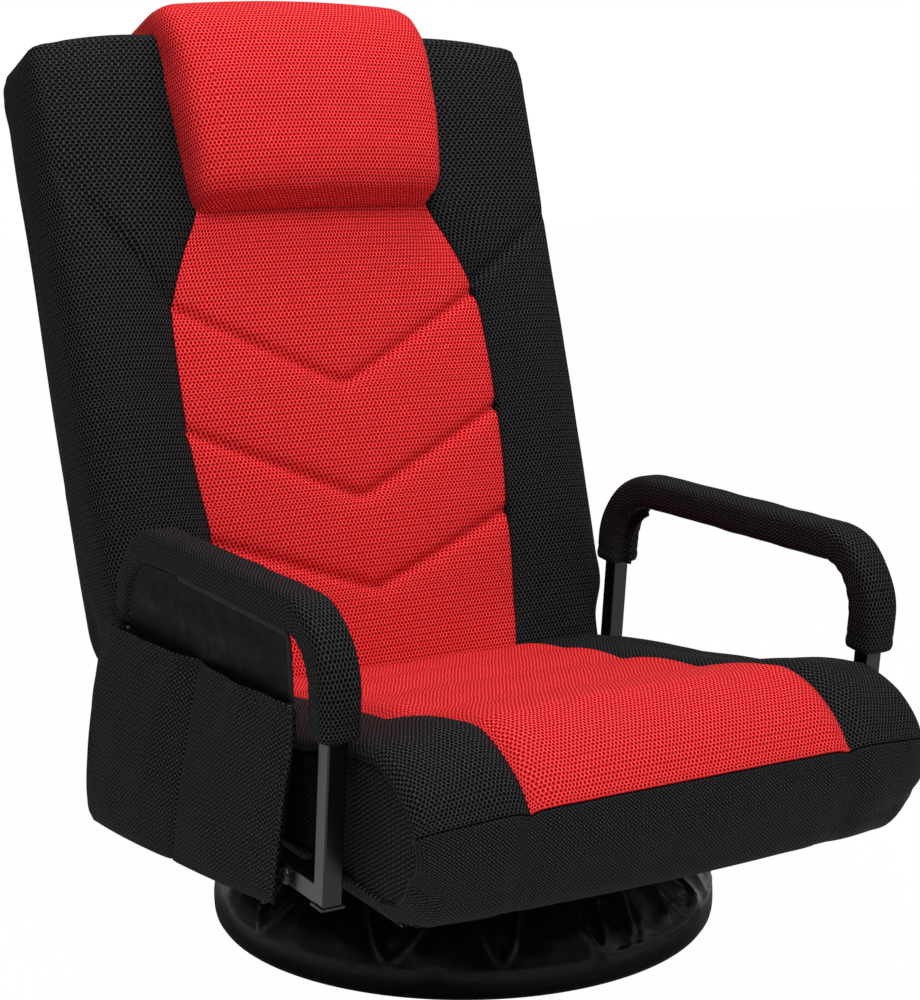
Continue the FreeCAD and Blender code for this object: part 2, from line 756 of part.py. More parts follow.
def toothed_wheel(centre):
    """Wheel with one gap per position of the back, a hub, and a leg with a spigot for the back tube."""
    half = wheel_thickness / 2
    middle = V(frame_half_width, 0, 0)
    wheel = rod(wheel_tip_radius, centre + middle - X * half, centre + middle + X * half)
    pitch = math.degrees(tooth_depth / wheel_tip_radius)
    for step in range(step_count + 1):
        angle = pawl_tip_angle() + step * step_angle
        root = wheel_tip_radius - tooth_depth
        gap = [
            hinge_point(wheel_tip_radius + overrun, angle - 1.1 * pitch),
            hinge_point(root, angle - 0.1 * pitch),
            hinge_point(root, angle + 0.4 * pitch),
            hinge_point(wheel_tip_radius + overrun, angle + 0.4 * pitch),
        ]
        cutter = slab(polygon(gap), X * (wheel_thickness + 2 * overrun))
        cutter.translate(middle - X * (half + overrun))
        wheel = wheel.cut(cutter)
    hub_half = cheek_gap / 2 - pin_clearance
    hub = rod(wheel_hub_radius, centre + middle - X * hub_half, centre + middle + X * hub_half)
    spigot = back_tube_dia / 2 - back_tube_wall - fit_clearance
    leg = block(
        V(frame_half_width - half, -spigot, 0), V(frame_half_width + half, spigot, back_tube_foot)
    )
    plug = rod(spigot, V(frame_half_width, 0, back_tube_foot), V(frame_half_width, 0, back_tube_foot + back_tube_dia))
    collar = rod(
        back_tube_dia / 2, V(frame_half_width, 0, back_tube_foot - spigot / 2), V(frame_half_width, 0, back_tube_foot)
    )
    wheel = wheel.fuse(hub).fuse(on_back(leg.fuse(plug).fuse(collar)))
    bore = hinge_pin_dia / 2 + pin_clearance
    wheel = wheel.cut(rod(bore, centre + middle - X * frame_tube, centre + middle + X * frame_tube))
    return wheel.removeSplitter()


def make_pawl(pivot):
    """Finger that blocks the wheel. It is built in its gap, then lifted clear of the teeth."""
    half = pawl_thickness / 2
    pitch = math.degrees(tooth_depth / wheel_tip_radius)
    angle = pawl_tip_angle()
    root = wheel_tip_radius - tooth_depth + pin_clearance
    end_angle = angle + 0.4 * pitch - math.degrees(pin_clearance / wheel_tip_radius)
    nose = [
        hinge_point(root, angle - 0.1 * pitch + math.degrees(pin_clearance / wheel_tip_radius)),
        hinge_point(root, end_angle),
        hinge_point(root + pawl_width, end_angle),
    ]
    toward = (nose[2] - pivot).normalize()
    side = X.cross(toward) * pawl_hub_radius
    throat = hinge_point(wheel_tip_radius + 3 * pin_clearance, angle - 0.8 * pitch)
    outline = [pivot - side * 0.8, nose[2], nose[1], nose[0], throat, pivot + side * 0.8]
    finger = slab(polygon(outline), X * pawl_thickness)
    hub = rod(pawl_hub_radius, pivot, pivot + X * pawl_thickness)
    pawl = finger.fuse(hub).removeSplitter()
    pawl = pawl.cut(rod(pawl_pin_dia / 2 + pin_clearance, pivot - X * half, pivot + X * frame_tube))
    pawl.translate(X * (frame_half_width - half))
    pawl.rotate(pivot, X, -pawl_lift)
    edge = Part.makeLine(outline[0], outline[1])
    edge.rotate(pivot, X, -pawl_lift)
    return pawl, edge.Vertexes[0].Point, edge.Vertexes[1].Point


def arm_corners():
    """Centre line of the arm loop in its own plane: front foot, front top, rear top, rear foot."""
    lean = math.tan(math.radians(arm_lean))
    rise = arm_height - frame_middle
    return [
        V(0, -arm_front, frame_middle),
        V(0, -arm_front - lean * rise, arm_height),
        V(0, arm_rear - lean * rise, arm_height),
        V(0, arm_rear, frame_middle),
    ]


def make_arms():
    """Closed loops of square tube bolted to the seat frame, with padded sleeves on top."""
    half = arm_tube / 2
    corners = arm_corners()

    def ring(outside, inside, width):
        outer = rounded(grown(corners, outside), [0.0, arm_bend + outside, arm_rear_bend + outside, 0.0])
        inner = rounded(grown(corners, inside), [0.0, arm_bend + inside, arm_rear_bend + inside, 0.0])
        loop = slab(outer, X * width).cut(slab(inner, X * width))
        loop.translate(X * (arm_x - width / 2))
        return loop

    loop = ring(half, -half, arm_tube)
    rims = [e for e in loop.Edges if abs(abs(e.CenterOfMass.x - arm_x) - half) < fit_clearance]
    loop = loop.makeFillet(arm_edge_radius, rims)
    arm = loop.cut(ring(half - arm_wall, arm_wall - half, arm_tube - 2 * arm_wall))
    for y in (-arm_bolt_front, arm_bolt_rear):
        start = V(arm_x - arm_tube, y, frame_middle)
        arm = arm.cut(rod(arm_bolt_dia / 2 + fit_clearance, start, start + X * (2 * arm_tube)))
    save("arm_right", [arm])
    save("arm_left", [mirrored(arm)])

    lean = math.tan(math.radians(arm_lean))
    caps = []
    for y in (-arm_front + lean * half, arm_rear + lean * half):
        reach = half + cap_overhang
        low = V(arm_x - reach, y - reach, arm_foot_z - cap_thickness)
        high = V(arm_x + reach, y + reach, arm_foot_z)
        caps.extend(both_sides(block(low, high)))
    save("arm_end_caps", caps)

    front_run = (corners[1] - corners[0]).normalize()
    rear_run = (corners[2] - corners[3]).normalize()
    front_end = corners[0] + front_run * ((sleeve_front_end - frame_middle) / front_run.z)
    rear_end = corners[3] + rear_run * ((sleeve_rear_end - frame_middle) / rear_run.z)
    path = path_wire([front_end, corners[1], corners[2], rear_end], [arm_bend, arm_rear_bend])
    sleeve = bar_sweep(path, front_end, front_run, sleeve_width / 2, sleeve_half, sleeve_corner_radius)
    bore_start = front_end - front_run * overrun
    bore_end = rear_end - rear_run * overrun
    bore_path = path_wire([bore_start, corners[1], corners[2], bore_end], [arm_bend, arm_rear_bend])
    bore = bar_sweep(bore_path, bore_start, front_run, half + fit_clearance, half + fit_clearance, 0.0)
    sleeve = sleeve.cut(bore)
    sleeve.translate(X * arm_x)
    save("arm_sleeve_right", [sleeve])
    save("arm_sleeve_left", [mirrored(sleeve)])


def bar_sweep(path, start, along, half_width, half_depth, radius):
    """A bar with its long edges rounded, carried along a path in the arm's plane."""
    across = along.cross(X)
    corners = [
        start + X * half_width + across * half_depth,
        start - X * half_width + across * half_depth,
        start - X * half_width - across * half_depth,
        start + X * half_width - across * half_depth,
    ]
    outline = rounded(corners, [radius] * 4)
    return path.makePipeShell([outline], True, False)


def make_arm_fasteners():
    """Bolts, washers, spacers and nuts that hold each arm to the side tube of the seat."""
    bolts = []
    washers = []
    spacers = []
    nuts = []
    face = arm_x + arm_tube / 2
    inside = arm_x - arm_tube / 2
    tube_outer = frame_half_width + frame_tube / 2
    tube_inner = frame_half_width - frame_tube / 2
    for y in (-arm_bolt_front, arm_bolt_rear):
        centre = V(0, y, frame_middle)
        strap = cheek_thickness if y > frame_tube_end - cheek_strap_length else 0.0
        washer = rod(washer_dia / 2, centre + X * face, centre + X * (face + washer_thickness))
        washer = washer.cut(rod(arm_bolt_dia / 2 + fit_clearance, centre, centre + X * (face + arm_tube)))
        head_face = face + washer_thickness
        head = rod(arm_bolt_head_dia / 2, centre + X * head_face, centre + X * (head_face + arm_bolt_head))
        rim = [e for e in head.Edges if abs(e.CenterOfMass.x - head_face - arm_bolt_head) < fit_clearance]
        head = head.makeFillet(arm_bolt_head * 0.7, rim)
        hexagon = [
            centre + V(head_face + arm_bolt_head / 3, arm_hex / 2 * math.cos(a), arm_hex / 2 * math.sin(a))
            for a in [math.pi / 3 * k for k in range(6)]
        ]
        head = head.cut(slab(polygon(hexagon), X * arm_bolt_head))
        tip = tube_inner - strap - nut_height - overrun
        bolt = head.fuse(rod(arm_bolt_dia / 2, centre + X * tip, centre + X * head_face)).removeSplitter()
        spacer = rod(spacer_dia / 2, centre + X * (tube_outer + strap), centre + X * inside)
        spacer = spacer.cut(rod(arm_bolt_dia / 2 + fit_clearance, centre, centre + X * face))
        nut_corners = [
            centre + V(tube_inner - strap - nut_height, nut_size / 1.732 * math.cos(a), nut_size / 1.732 * math.sin(a))
            for a in [math.pi / 3 * k for k in range(6)]
        ]
        nut = slab(polygon(nut_corners), X * nut_height)
        nut = nut.cut(rod(arm_bolt_dia / 2 + fit_clearance, centre, centre + X * face))
        bolts.extend(both_sides(bolt))
        washers.extend(both_sides(washer))
        spacers.extend(both_sides(spacer))
        nuts.extend(both_sides(nut))
    save("arm_bolts", bolts)
    save("arm_washers", washers)
    save("arm_spacers", spacers)
    save("arm_nuts", nuts)


def seat_section(x, drop, inset, puff, lift):
    """Side outline of the seat at one place: top dropped, front drawn in, channels puffed, rear lifted."""
    def spot(y, z):
        return V(x, y, z)

    reach = back_half_depth + seat_gap
    low = seat_bottom + inset / 8
    foot_angle = math.pi + math.asin((hinge_z - low) / reach)
    lean_angle = math.pi - tilt
    middle_angle = (foot_angle + lean_angle) / 2

    def on_end(angle):
        return spot(hinge_y + reach * math.cos(angle), hinge_z + reach * math.sin(angle))

    lean_top = on_end(lean_angle)
    rise = crease_rise - drop / 20 + lift
    crease = lean_top + V(0, rise * math.sin(tilt), rise * math.cos(tilt))
    crest = spot(-seat_crest, seat_crest_height - drop)
    seams = [crease]
    for along, up in seat_seam_shares:
        y = crease.y + (crest.y - crease.y) * along
        z = crease.z + (crest.z - crease.z) * up
        seams.append(spot(y, z))
    edges = []
    for first, second in zip(seams, seams[1:]):
        middle = (first + second) * 0.5 + Z * (channel_crown * puff + fit_clearance)
        edges.append(arc(first, middle, second))
    roll_middle = (seams[-1] + crest) * 0.5 + Z * (channel_crown * 0.6)
    edges.append(arc(seams[-1], roll_middle, crest))
    seam = spot(-seat_front + 4 * fit_clearance * 10 + inset, seat_seam_height - drop / 2)
    shoulder = (seat_front - seat_crest) * 0.62
    nose = spot(-seat_crest - shoulder + inset / 2, seat_seam_height + (seat_crest_height - seat_seam_height) * 0.64 - drop)
    edges.append(arc(crest, nose, seam))
    band = seat_seam_height - seat_bottom
    chin = spot(-seat_front + band * 0.12 + inset, seat_bottom + band * 0.34 + inset / 2)
    belly = spot(-seat_front + inset, seat_bottom + band * 0.68)
    edges.append(arc(seam, belly, chin))
    toe = spot(-seat_front + band * 0.62 + inset, low)
    jaw = spot(-seat_front + band * 0.29 + inset, low + band * 0.09)
    edges.append(arc(chin, jaw, toe))
    foot = on_end(foot_angle)
    edges.append(line(toe, foot))
    edges.append(arc(foot, on_end(middle_angle), lean_top))
    edges.append(line(lean_top, crease))
    return Part.Wire(edges)


def make_seat_cushion():
    """Seat cushion with its front roll, and the centre panel with three cross channels."""
    panel = seat_panel_half_width
    side = seat_half_width
    round_off = seat_side_round
    rows = [
        (0.0, -channel_crown * 0.7, -channel_crown * 0.5, 1.0, 0.0),
        (panel * 0.7, -channel_crown * 0.5, -channel_crown * 0.3, 1.0, 0.0),
        (panel - seam_width, 0.0, 0.0, 0.8, 0.0),
        (panel, seam_dip, seam_dip * 0.6, 0.2, 0.0),
        (panel + seam_width, 0.0, 0.0, 0.2, seat_side_lift * 0.6),
        (side - round_off * 1.5, round_off * 0.1, round_off * 0.05, 0.05, seat_side_lift),
        (side - round_off * 0.55, round_off * 0.38, round_off * 0.25, 0.05, seat_side_lift),
        (side - round_off * 0.15, round_off * 0.7, round_off * 0.55, 0.05, seat_side_lift * 0.6),
        (side, round_off * 1.1, round_off * 1.0, 0.05, 0.0),
    ]
    rows = [(-row[0],) + row[1:] for row in rows[:0:-1]] + rows
    full = skin([seat_section(*row) for row in rows])

    lean_y = hinge_y - back_half_depth * math.cos(tilt)
    lean_z = hinge_z + back_half_depth * math.sin(tilt)
    crease_y = lean_y + crease_rise * math.sin(tilt)
    crease_z = lean_z + crease_rise * math.cos(tilt)
    outline = [
        V(-panel, -seat_front - round_off, seat_seam_height),
        V(-panel, crease_y, crease_z - seat_panel_depth),
        V(-panel, crease_y + round_off, crease_z - seat_panel_depth),
        V(-panel, crease_y + round_off, seat_crest_height + round_off),
        V(-panel, -seat_front - round_off, seat_crest_height + round_off),
    ]
    window = slab(polygon(outline), X * (2 * panel))
    save("seat_centre_panel", [full.common(window)])

    body = full.cut(window)
    half = frame_tube / 2
    ceiling = frame_top + webbing_thickness + seat_gap
    body = body.cut(
        block(V(-seat_rim, -frame_front - half - overrun, 0), V(seat_rim, rear_bar_y + half + overrun, ceiling))
    )
    slot_front = frame_tube_end - cheek_strap_length - overrun
    slot = block(V(slot_inner, slot_front, 0), V(slot_outer, hinge_y, ceiling))
    for hole in both_sides(slot):
        body = body.cut(hole)
    slot = block(V(slot_inner, frame_tube_end, 0), V(slot_outer, hinge_y, hinge_z + cheek_radius * 0.7))
    for hole in both_sides(slot):
        body = body.cut(hole)
    for y in (-arm_bolt_front, arm_bolt_rear):
        start = V(seat_rim - overrun, y, frame_middle)
        hole = rod(spacer_dia / 2 + seat_gap, start, V(arm_x, y, frame_middle))
        for cutter in both_sides(hole):
            body = body.cut(cutter)
    save("seat_cushion", [body])


def back_ring(height, half_width, front, rear, crown, panel):
    """One level of the back cushion: crowned panel and bolsters in front, rounded corners, full rear."""
    corner = min(back_corner_radius, (front + rear) * 0.42)
    dip = back_seam_depth * min(1.0, crown * 2)
    swell = bolster_crown * crown - fit_clearance
    puff = panel_crown * crown - fit_clearance
    slight = corner * 0.3

    def spot(x, v):
        return V(x, v, height)

    bow = spot(half_width - corner, -front)
    edges = [arc(spot(-panel, dip - front), spot(0, -front - puff), spot(panel, dip - front))]
    edges.append(arc(spot(panel, dip - front), spot((panel + bow.x) / 2, -front - swell), bow))
    edges.append(arc(bow, spot(half_width - slight, slight - front), spot(half_width, corner - front)))
    side_middle = spot(half_width + corner * 0.06, (rear - front) / 2)
    edges.append(arc(spot(half_width, corner - front), side_middle, spot(half_width, rear - corner)))
    edges.append(
        arc(spot(half_width, rear - corner), spot(half_width - slight, rear - slight), spot(half_width - corner, rear))
    )
    bulge = corner * 0.1 * crown - fit_clearance
    edges.append(arc(spot(half_width - corner, rear), spot(0, rear + bulge), spot(corner - half_width, rear)))
    edges.append(
        arc(spot(corner - half_width, rear), spot(slight - half_width, rear - slight), spot(-half_width, rear - corner))
    )
    edges.append(
        arc(spot(-half_width, rear - corner), spot(-side_middle.x, side_middle.y), spot(-half_width, corner - front))
    )
    edges.append(
        arc(spot(-half_width, corner - front), spot(slight - half_width, slight - front), spot(-bow.x, bow.y))
    )
    edges.append(arc(spot(-bow.x, bow.y), spot(-(panel + bow.x) / 2, -front - swell), spot(-panel, dip - front)))
    return Part.Wire(edges)


def back_rows():
    """Levels of the back cushion in millimetres, from its round lower end to its top."""
    rows = []
    first = back_row_shares[0]
    for angle in round_end_angles:
        turn = math.radians(angle)
        depth = back_half_depth * math.cos(turn)
        half_width = seat_half_width * first[1] - back_corner_radius * 0.4 * (1 - math.cos(turn))
        rows.append((-back_half_depth * math.sin(turn), half_width, depth, depth, 0.0, seat_half_width * first[5]))
    for height, width, front, rear, crown, panel in back_row_shares:
        rows.append((
            back_height * height, seat_half_width * width, back_half_depth * front,
            back_half_depth * rear, crown, seat_half_width * panel,
        ))
    return rows


def make_back_cushion():
    """Back cushion in its own upright frame: front and bolsters, rear shell, centre panel, head cushion."""
    rows = back_rows()
    full = skin([back_ring(*row) for row in rows])

    left = []
    right = []
    front = -back_half_depth - bolster_crown - overrun
    for height, width, near, far, crown, panel in rows:
        if 0 <= height <= head_bottom + back_corner_radius:
            left.append(V(-panel, front, height))
            right.append(V(panel, front, height))
    window = slab(polygon(left + right[::-1]), Y * (bolster_crown + overrun + back_panel_depth))
    panel_piece = full.common(window)
    for end, point in chevron_shares:
        for side in (-1, 1):
            panel_piece = panel_piece.cut(chevron_groove(side, back_height * end, back_height * point))
    save("back_centre_panel", [on_back(panel_piece)])

    head = skin([head_ring(*row) for row in head_row_shares]).cut(full)
    save("head_cushion", [on_back(head)])

    tube = back_tube_dia / 2
    rim = frame_half_width + tube + overrun
    cavity = block(
        V(-rim, -tube - webbing_thickness - seat_gap, back_tube_foot - tube),
        V(rim, tube + seat_gap, back_frame_top + tube + overrun),
    )
    body = full.cut(window).cut(cavity)
    slot = block(
        V(slot_inner, -2 * back_half_depth, -2 * back_half_depth),
        V(slot_outer, 2 * back_half_depth, back_tube_foot + overrun),
    )
    for hole in both_sides(slot):
        body = body.cut(hole)
    reach = 2 * seat_half_width
    behind = block(V(-reach, 0, -reach), V(reach, reach, back_height + reach))
    save("back_cushion", [on_back(body.cut(behind))])
    save("back_rear_cover", [on_back(body.common(behind))])


def chevron_groove(side, end_height, point_height):
    """Cutter for one leg of a sewn V: two rounded shoulders that meet in a crease."""
    start = V(side * chevron_reach, 0, end_height + (end_height - point_height) * 0.05)
    finish = V(-side * groove_half_width / 3, 0, point_height - (end_height - point_height) * 0.03)
    along = finish - start
    across = V(along).normalize().cross(Y)
    front = -back_half_depth
    crease = start + Y * (front + groove_depth)
    shoulder = panel_crown * 2
    left_top = start + across * groove_half_width + Y * (front - shoulder)
    right_top = start - across * groove_half_width + Y * (front - shoulder)
    left_middle = start + across * (groove_half_width / 3) + Y * (front - shoulder / 4)
    right_middle = start - across * (groove_half_width / 3) + Y * (front - shoulder / 4)
    outline = Part.Wire([arc(left_top, left_middle, crease), arc(crease, right_middle, right_top), line(right_top, left_top)])
    return slab(outline, along)


def head_ring(height_share, width_share, depth_share, rear_share):
    """One level of the head cushion: flat behind, straight gussets, crowned front."""
    height = head_bottom + (head_top - head_bottom) * height_share
    half_width = head_half_width * width_share
    front = -back_half_depth - head_depth * depth_share
    rear = head_rear * rear_share
    corner = min(back_corner_radius, (rear - front) * 0.4)

    def spot(x, v):
        return V(x, v, height)

    edges = [line(spot(half_width, rear), spot(-half_width, rear))]
    edges.append(line(spot(-half_width, rear), spot(-half_width, front + corner)))
    edges.append(
        arc(
            spot(-half_width, front + corner), spot(corner * 0.3 - half_width, front + corner * 0.34),
            spot(corner - half_width, front + corner * 0.1),
        )
    )
    edges.append(
        arc(
            spot(corner - half_width, front + corner * 0.1), spot(0, front - corner * 0.1),
            spot(half_width - corner, front + corner * 0.1),
        )
    )
    edges.append(
        arc(
            spot(half_width - corner, front + corner * 0.1), spot(half_width - corner * 0.3, front + corner * 0.34),
            spot(half_width, front + corner),
        )
    )
    edges.append(line(spot(half_width, front + corner), spot(half_width, rear)))
    return Part.Wire(edges)


def make_back_frame():
    """Inverted U of round tube with rails and straps, in the back's own upright frame."""
    tube = back_tube_dia / 2
    run = [
        V(-frame_half_width, 0, back_tube_foot),
        V(-frame_half_width, 0, back_frame_top),
        V(frame_half_width, 0, back_frame_top),
        V(frame_half_width, 0, back_tube_foot),
    ]
    outer = round_sweep(run, tube)
    longer = [run[0] - Z * overrun, run[1], run[2], run[3] - Z * overrun]
    inner = round_sweep(longer, tube - back_tube_wall)
    save("back_frame", [on_back(outer.cut(inner))])

    rails = []
    for share in back_rail_shares:
        height = back_frame_top * share
        ends = (V(-frame_half_width, 0, height), V(frame_half_width, 0, height))
        rail = rod(back_rail_dia / 2, *ends).cut(rod(back_rail_dia / 2 - back_tube_wall, *ends))
        rails.append(on_back(rail.cut(outer)))
    save("back_rails", rails)

    straps = []
    first = back_tube_foot + 2 * back_tube_dia
    last = back_frame_top - back_frame_bend - webbing_width / 2
    for i in range(back_strap_count):
        height = first + (last - first) * i / (back_strap_count - 1)
        low = V(-frame_half_width, -tube - webbing_thickness, height - webbing_width / 2)
        high = V(frame_half_width, -tube, height + webbing_width / 2)
        straps.append(on_back(block(low, high)))
    save("back_webbing", straps)


def round_sweep(run, radius):
    """A round bar of this radius carried along the bent line of the back tube."""
    start = run[0]
    outline = Part.Wire([Part.makeCircle(radius, start, (run[1] - run[0]).normalize())])
    return path_wire(run, [back_frame_bend] * 2).makePipeShell([outline], True, False)


def pouch_ring(level, inset, low_end, high_end):
    """One level of the pouch between two places along it, drawn in by the cloth's thickness."""
    share, lean, corner, rear_out, rear_pocket_out, divide_out, front_pocket_out, front_out = level
    inner = -(arm_x + arm_tube / 2 + washer_thickness + arm_bolt_head + 2 * seat_gap)
    front = -(pouch_front_low + (pouch_front_high - pouch_front_low) * lean)
    rear = pouch_rear_low + (pouch_rear_high - pouch_rear_low) * share - pouch_corner * corner
    divide = -(pouch_divider_low + (pouch_divider_high - pouch_divider_low) * share)
    low_rise = pouch_bottom_rise
    front_z = pouch_bottom + low_rise + (pouch_mouth + pouch_mouth_rise - pouch_bottom - low_rise) * share
    rear_z = pouch_bottom + (pouch_mouth - pouch_bottom) * share

    def spot(out, y):
        return V(inner - out, y, rear_z + (front_z - rear_z) * (rear - y) / (rear - front))

    outs = {"rear": rear_out, "divide_rear": divide_out, "divide_front": divide_out, "front": front_out}
    places = {
        "rear": rear - inset, "divide_rear": divide + inset / 2, "divide_front": divide - inset / 2,
        "front": front + inset,
    }
    high = places[high_end]
    low = places[low_end]
    high_out = pouch_swell * outs[high_end] - inset
    low_out = pouch_swell * outs[low_end] - inset
    middle_out = pouch_swell * divide_out - inset
    edges = [line(spot(inset, low), spot(inset, high)), line(spot(inset, high), spot(high_out, high))]
    if high_end == "rear":
        stop = divide if low_end == "front" else low
        pocket = spot(pouch_swell * rear_pocket_out - inset, (high + stop) / 2)
        edges.append(arc(spot(high_out, high), pocket, spot(middle_out, stop)))
    if low_end == "front":
        begin = divide if high_end == "rear" else high
        pocket = spot(pouch_swell * front_pocket_out - inset, (low + begin) / 2)
        edges.append(arc(spot(middle_out, begin), pocket, spot(low_out, low)))
    edges.append(line(spot(low_out, low), spot(inset, low)))
    return Part.Wire(edges)


def make_pouch():
    """Side pouch: two pockets open at the top, and a cloth panel that hangs them from the arm."""
    bag = skin([pouch_ring(level, 0.0, "front", "rear") for level in pouch_level_shares])
    height = pouch_mouth - pouch_bottom
    floor = pouch_level_shares[0]
    mouth = pouch_level_shares[-1]
    above = 2 * pouch_mouth_rise / height
    inside = [(pouch_cloth / height,) + floor[1:]] + pouch_level_shares[1:-1]
    inside.append((mouth[0] + above,) + mouth[1:])
    for low_end, high_end in (("front", "divide_front"), ("divide_rear", "rear")):
        bag = bag.cut(skin([pouch_ring(level, pouch_cloth, low_end, high_end) for level in inside]))

    inner = -(arm_x + arm_tube / 2 + washer_thickness + arm_bolt_head + 2 * seat_gap)
    corners = arm_corners()
    lean = math.tan(math.radians(arm_lean))
    ceiling = arm_height - sleeve_half - seat_gap
    rear_at_top = corners[3].y - lean * (ceiling - frame_middle) - sleeve_half - 2 * seat_gap
    rear_at_mouth = corners[3].y - lean * (pouch_mouth - frame_middle) - sleeve_half - 2 * seat_gap
    outline = [
        V(inner, rear_at_mouth, pouch_mouth - pouch_edge),
        V(inner, rear_at_top, ceiling),
        V(inner, -pouch_front_low - pouch_edge, ceiling),
        V(inner, -pouch_front_high, pouch_mouth + pouch_mouth_rise / 2),
        V(inner, -pouch_front_high + pouch_edge, pouch_mouth - pouch_edge),
    ]
    bend = arm_bend - sleeve_half + pouch_edge
    rear_bend = arm_rear_bend - sleeve_half + pouch_edge
    panel = slab(rounded(outline, [0.0, rear_bend, bend, 0.0, 0.0]), X * (-pouch_cloth))
    save("side_pouch", [bag.fuse(panel).removeSplitter()])


def main():
    os.makedirs("parts", exist_ok=True)
    make_base()
    make_ball_cage()
    make_skirt()
    make_seat_frame()
    make_hinges()
    make_arms()
    make_arm_fasteners()
    make_seat_cushion()
    make_back_frame()
    make_back_cushion()
    make_pouch()
    for node, shape in saved:
        valid = all(solid.isValid() for solid in shape.Solids)
        print(node, len(shape.Solids), "solids,", round(shape.Volume / 1000), "cm3, valid", valid)
    print(len(saved), "nodes")


main()
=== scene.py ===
# %% [markdown]
# # A floor gaming chair in Blender
# The chair sits on a round swivel base under a gathered nylon cover. Its seat and back are foam pads
# in knitted air mesh, its arms are loops of square steel tube, and a cloth pouch hangs on one of them.
# The measured solids come first and set every size. What is sewn is then built over them.

# %% Load the measured model
import json
import math

import bmesh
import bpy
import numpy as np
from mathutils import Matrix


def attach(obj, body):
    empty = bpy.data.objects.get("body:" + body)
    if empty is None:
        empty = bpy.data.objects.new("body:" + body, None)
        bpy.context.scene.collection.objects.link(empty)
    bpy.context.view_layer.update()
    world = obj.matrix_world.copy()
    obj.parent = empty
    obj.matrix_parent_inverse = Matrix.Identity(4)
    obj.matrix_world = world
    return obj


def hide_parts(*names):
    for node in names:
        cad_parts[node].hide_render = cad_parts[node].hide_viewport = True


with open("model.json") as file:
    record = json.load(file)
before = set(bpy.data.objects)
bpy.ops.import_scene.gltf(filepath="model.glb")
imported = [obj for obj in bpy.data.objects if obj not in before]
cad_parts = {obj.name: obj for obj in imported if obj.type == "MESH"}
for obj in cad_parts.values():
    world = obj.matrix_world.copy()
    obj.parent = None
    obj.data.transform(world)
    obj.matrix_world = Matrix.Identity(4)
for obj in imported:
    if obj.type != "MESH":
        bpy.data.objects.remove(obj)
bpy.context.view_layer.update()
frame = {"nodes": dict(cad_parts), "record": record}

# %% [markdown]
# ## One way to make every surface
# A sewn skin is a sheet that was bent, so each one here is a grid: rows and columns of points worked
# out as whole arrays. The same grid gives the cloth its own map in millimetres, so the knit follows
# the skin the way real fabric does.

# %% Small helpers on arrays
MM = 0.001
scene = bpy.context.scene


def together(*parts):
    """Stacks coordinates of matching shapes to points."""
    return np.stack(np.broadcast_arrays(*parts), -1)


def unit(way):
    """The same directions with length one."""
    return way / np.maximum(np.linalg.norm(way, axis=-1, keepdims=True), 1e-9)


def fraction(value):
    """Keeps a value between 0 and 1."""
    return np.clip(value, 0, 1)


def bell(distance, width):
    """1 on a line and falling to nothing a few widths away."""
    return np.exp(-(distance / width) ** 2)


def circle(count):
    """Angles round a full turn, without the last one, which is the first again."""
    return np.linspace(0, math.tau, count, endpoint=False)


def waves(x, y, seed, low, high, count=24):
    """Soft unevenness between -1 and 1: a sum of ripples with lengths from low to high millimetres."""
    draw = np.random.default_rng(seed)
    total = np.zeros(np.broadcast(x, y).shape)
    for turn, size, shift in zip(
        draw.uniform(0, math.tau, count), draw.uniform(low, high, count), draw.uniform(0, math.tau, count)
    ):
        total += np.sin((x * math.cos(turn) + y * math.sin(turn)) * math.tau / size + shift)
    return total / math.sqrt(count * 2)


# %% From a grid of points to a mesh
def lengths(grid, axis):
    """Distance walked along one axis of the grid, from its first point."""
    step = np.linalg.norm(np.diff(grid, axis=axis), axis=-1)
    start = np.zeros_like(np.take(step, [0], axis=axis))
    return np.concatenate([start, np.cumsum(step, axis=axis)], axis=axis)


def evenly(points, count):
    """The same line with count points at equal distances."""
    walked = lengths(points[None], 1)[0]
    at = np.linspace(0, walked[-1], count)
    return np.stack([np.interp(at, walked, points[:, k]) for k in range(3)], -1)


def closed(grid):
    """The grid with its first column again at the end."""
    return np.concatenate([grid, grid[:, :1]], axis=1)


def fabric_map(grid, loop=False, row=None, column=0):
    """Cloth map in millimetres: across is walked along one row, and along is walked down one column."""
    row = grid.shape[0] // 2 if row is None else row
    whole = closed(grid) if loop else grid
    across = lengths(whole[row:row + 1], 1)
    return together(across - across[:, column:column + 1], lengths(whole[:, column:column + 1], 0))


def corners_of(number):
    """The four corners of every cell of a grid of point numbers."""
    return np.stack([number[:-1, :-1], number[:-1, 1:], number[1:, 1:], number[1:, :-1]], -1)


def new_object(name, data):
    """Puts a mesh, lamp or camera into the scene."""
    item = bpy.data.objects.new(name, data)
    scene.collection.objects.link(item)
    return item


def surface(name, grid, loop=False, keep=None, flip=False, cloth_map=None):
    """Mesh of a grid in millimetres. keep says which faces stay; loop joins the last column to the first."""
    if cloth_map is None:
        cloth_map = fabric_map(grid, loop)
    if loop:
        grid = closed(grid)
    quads = corners_of(np.arange(grid[..., 0].size).reshape(grid.shape[:2]))
    quads = (quads if keep is None else quads[keep]).reshape(-1, 4)
    if flip:
        quads = quads[:, ::-1]
    used, faces = np.unique(quads, return_inverse=True)
    mesh = bpy.data.meshes.new(name)
    mesh.from_pydata((grid.reshape(-1, 3)[used] * MM).tolist(), [], faces.reshape(-1, 4).tolist())
    corner_map = cloth_map.reshape(-1, 2)[quads.reshape(-1)].astype(np.float32)
    mesh.uv_layers.new(name="cloth_mm").data.foreach_set("uv", corner_map.ravel())
    weld(mesh)
    return new_object(name, mesh)


def capped(grid):
    """Adds the middle of each end's ring as a last row, which closes a tube."""
    middles = grid[[0, -1]].mean(axis=1, keepdims=True) + 0 * grid[:1]
    return np.concatenate([middles[:1], grid, middles[1:]])


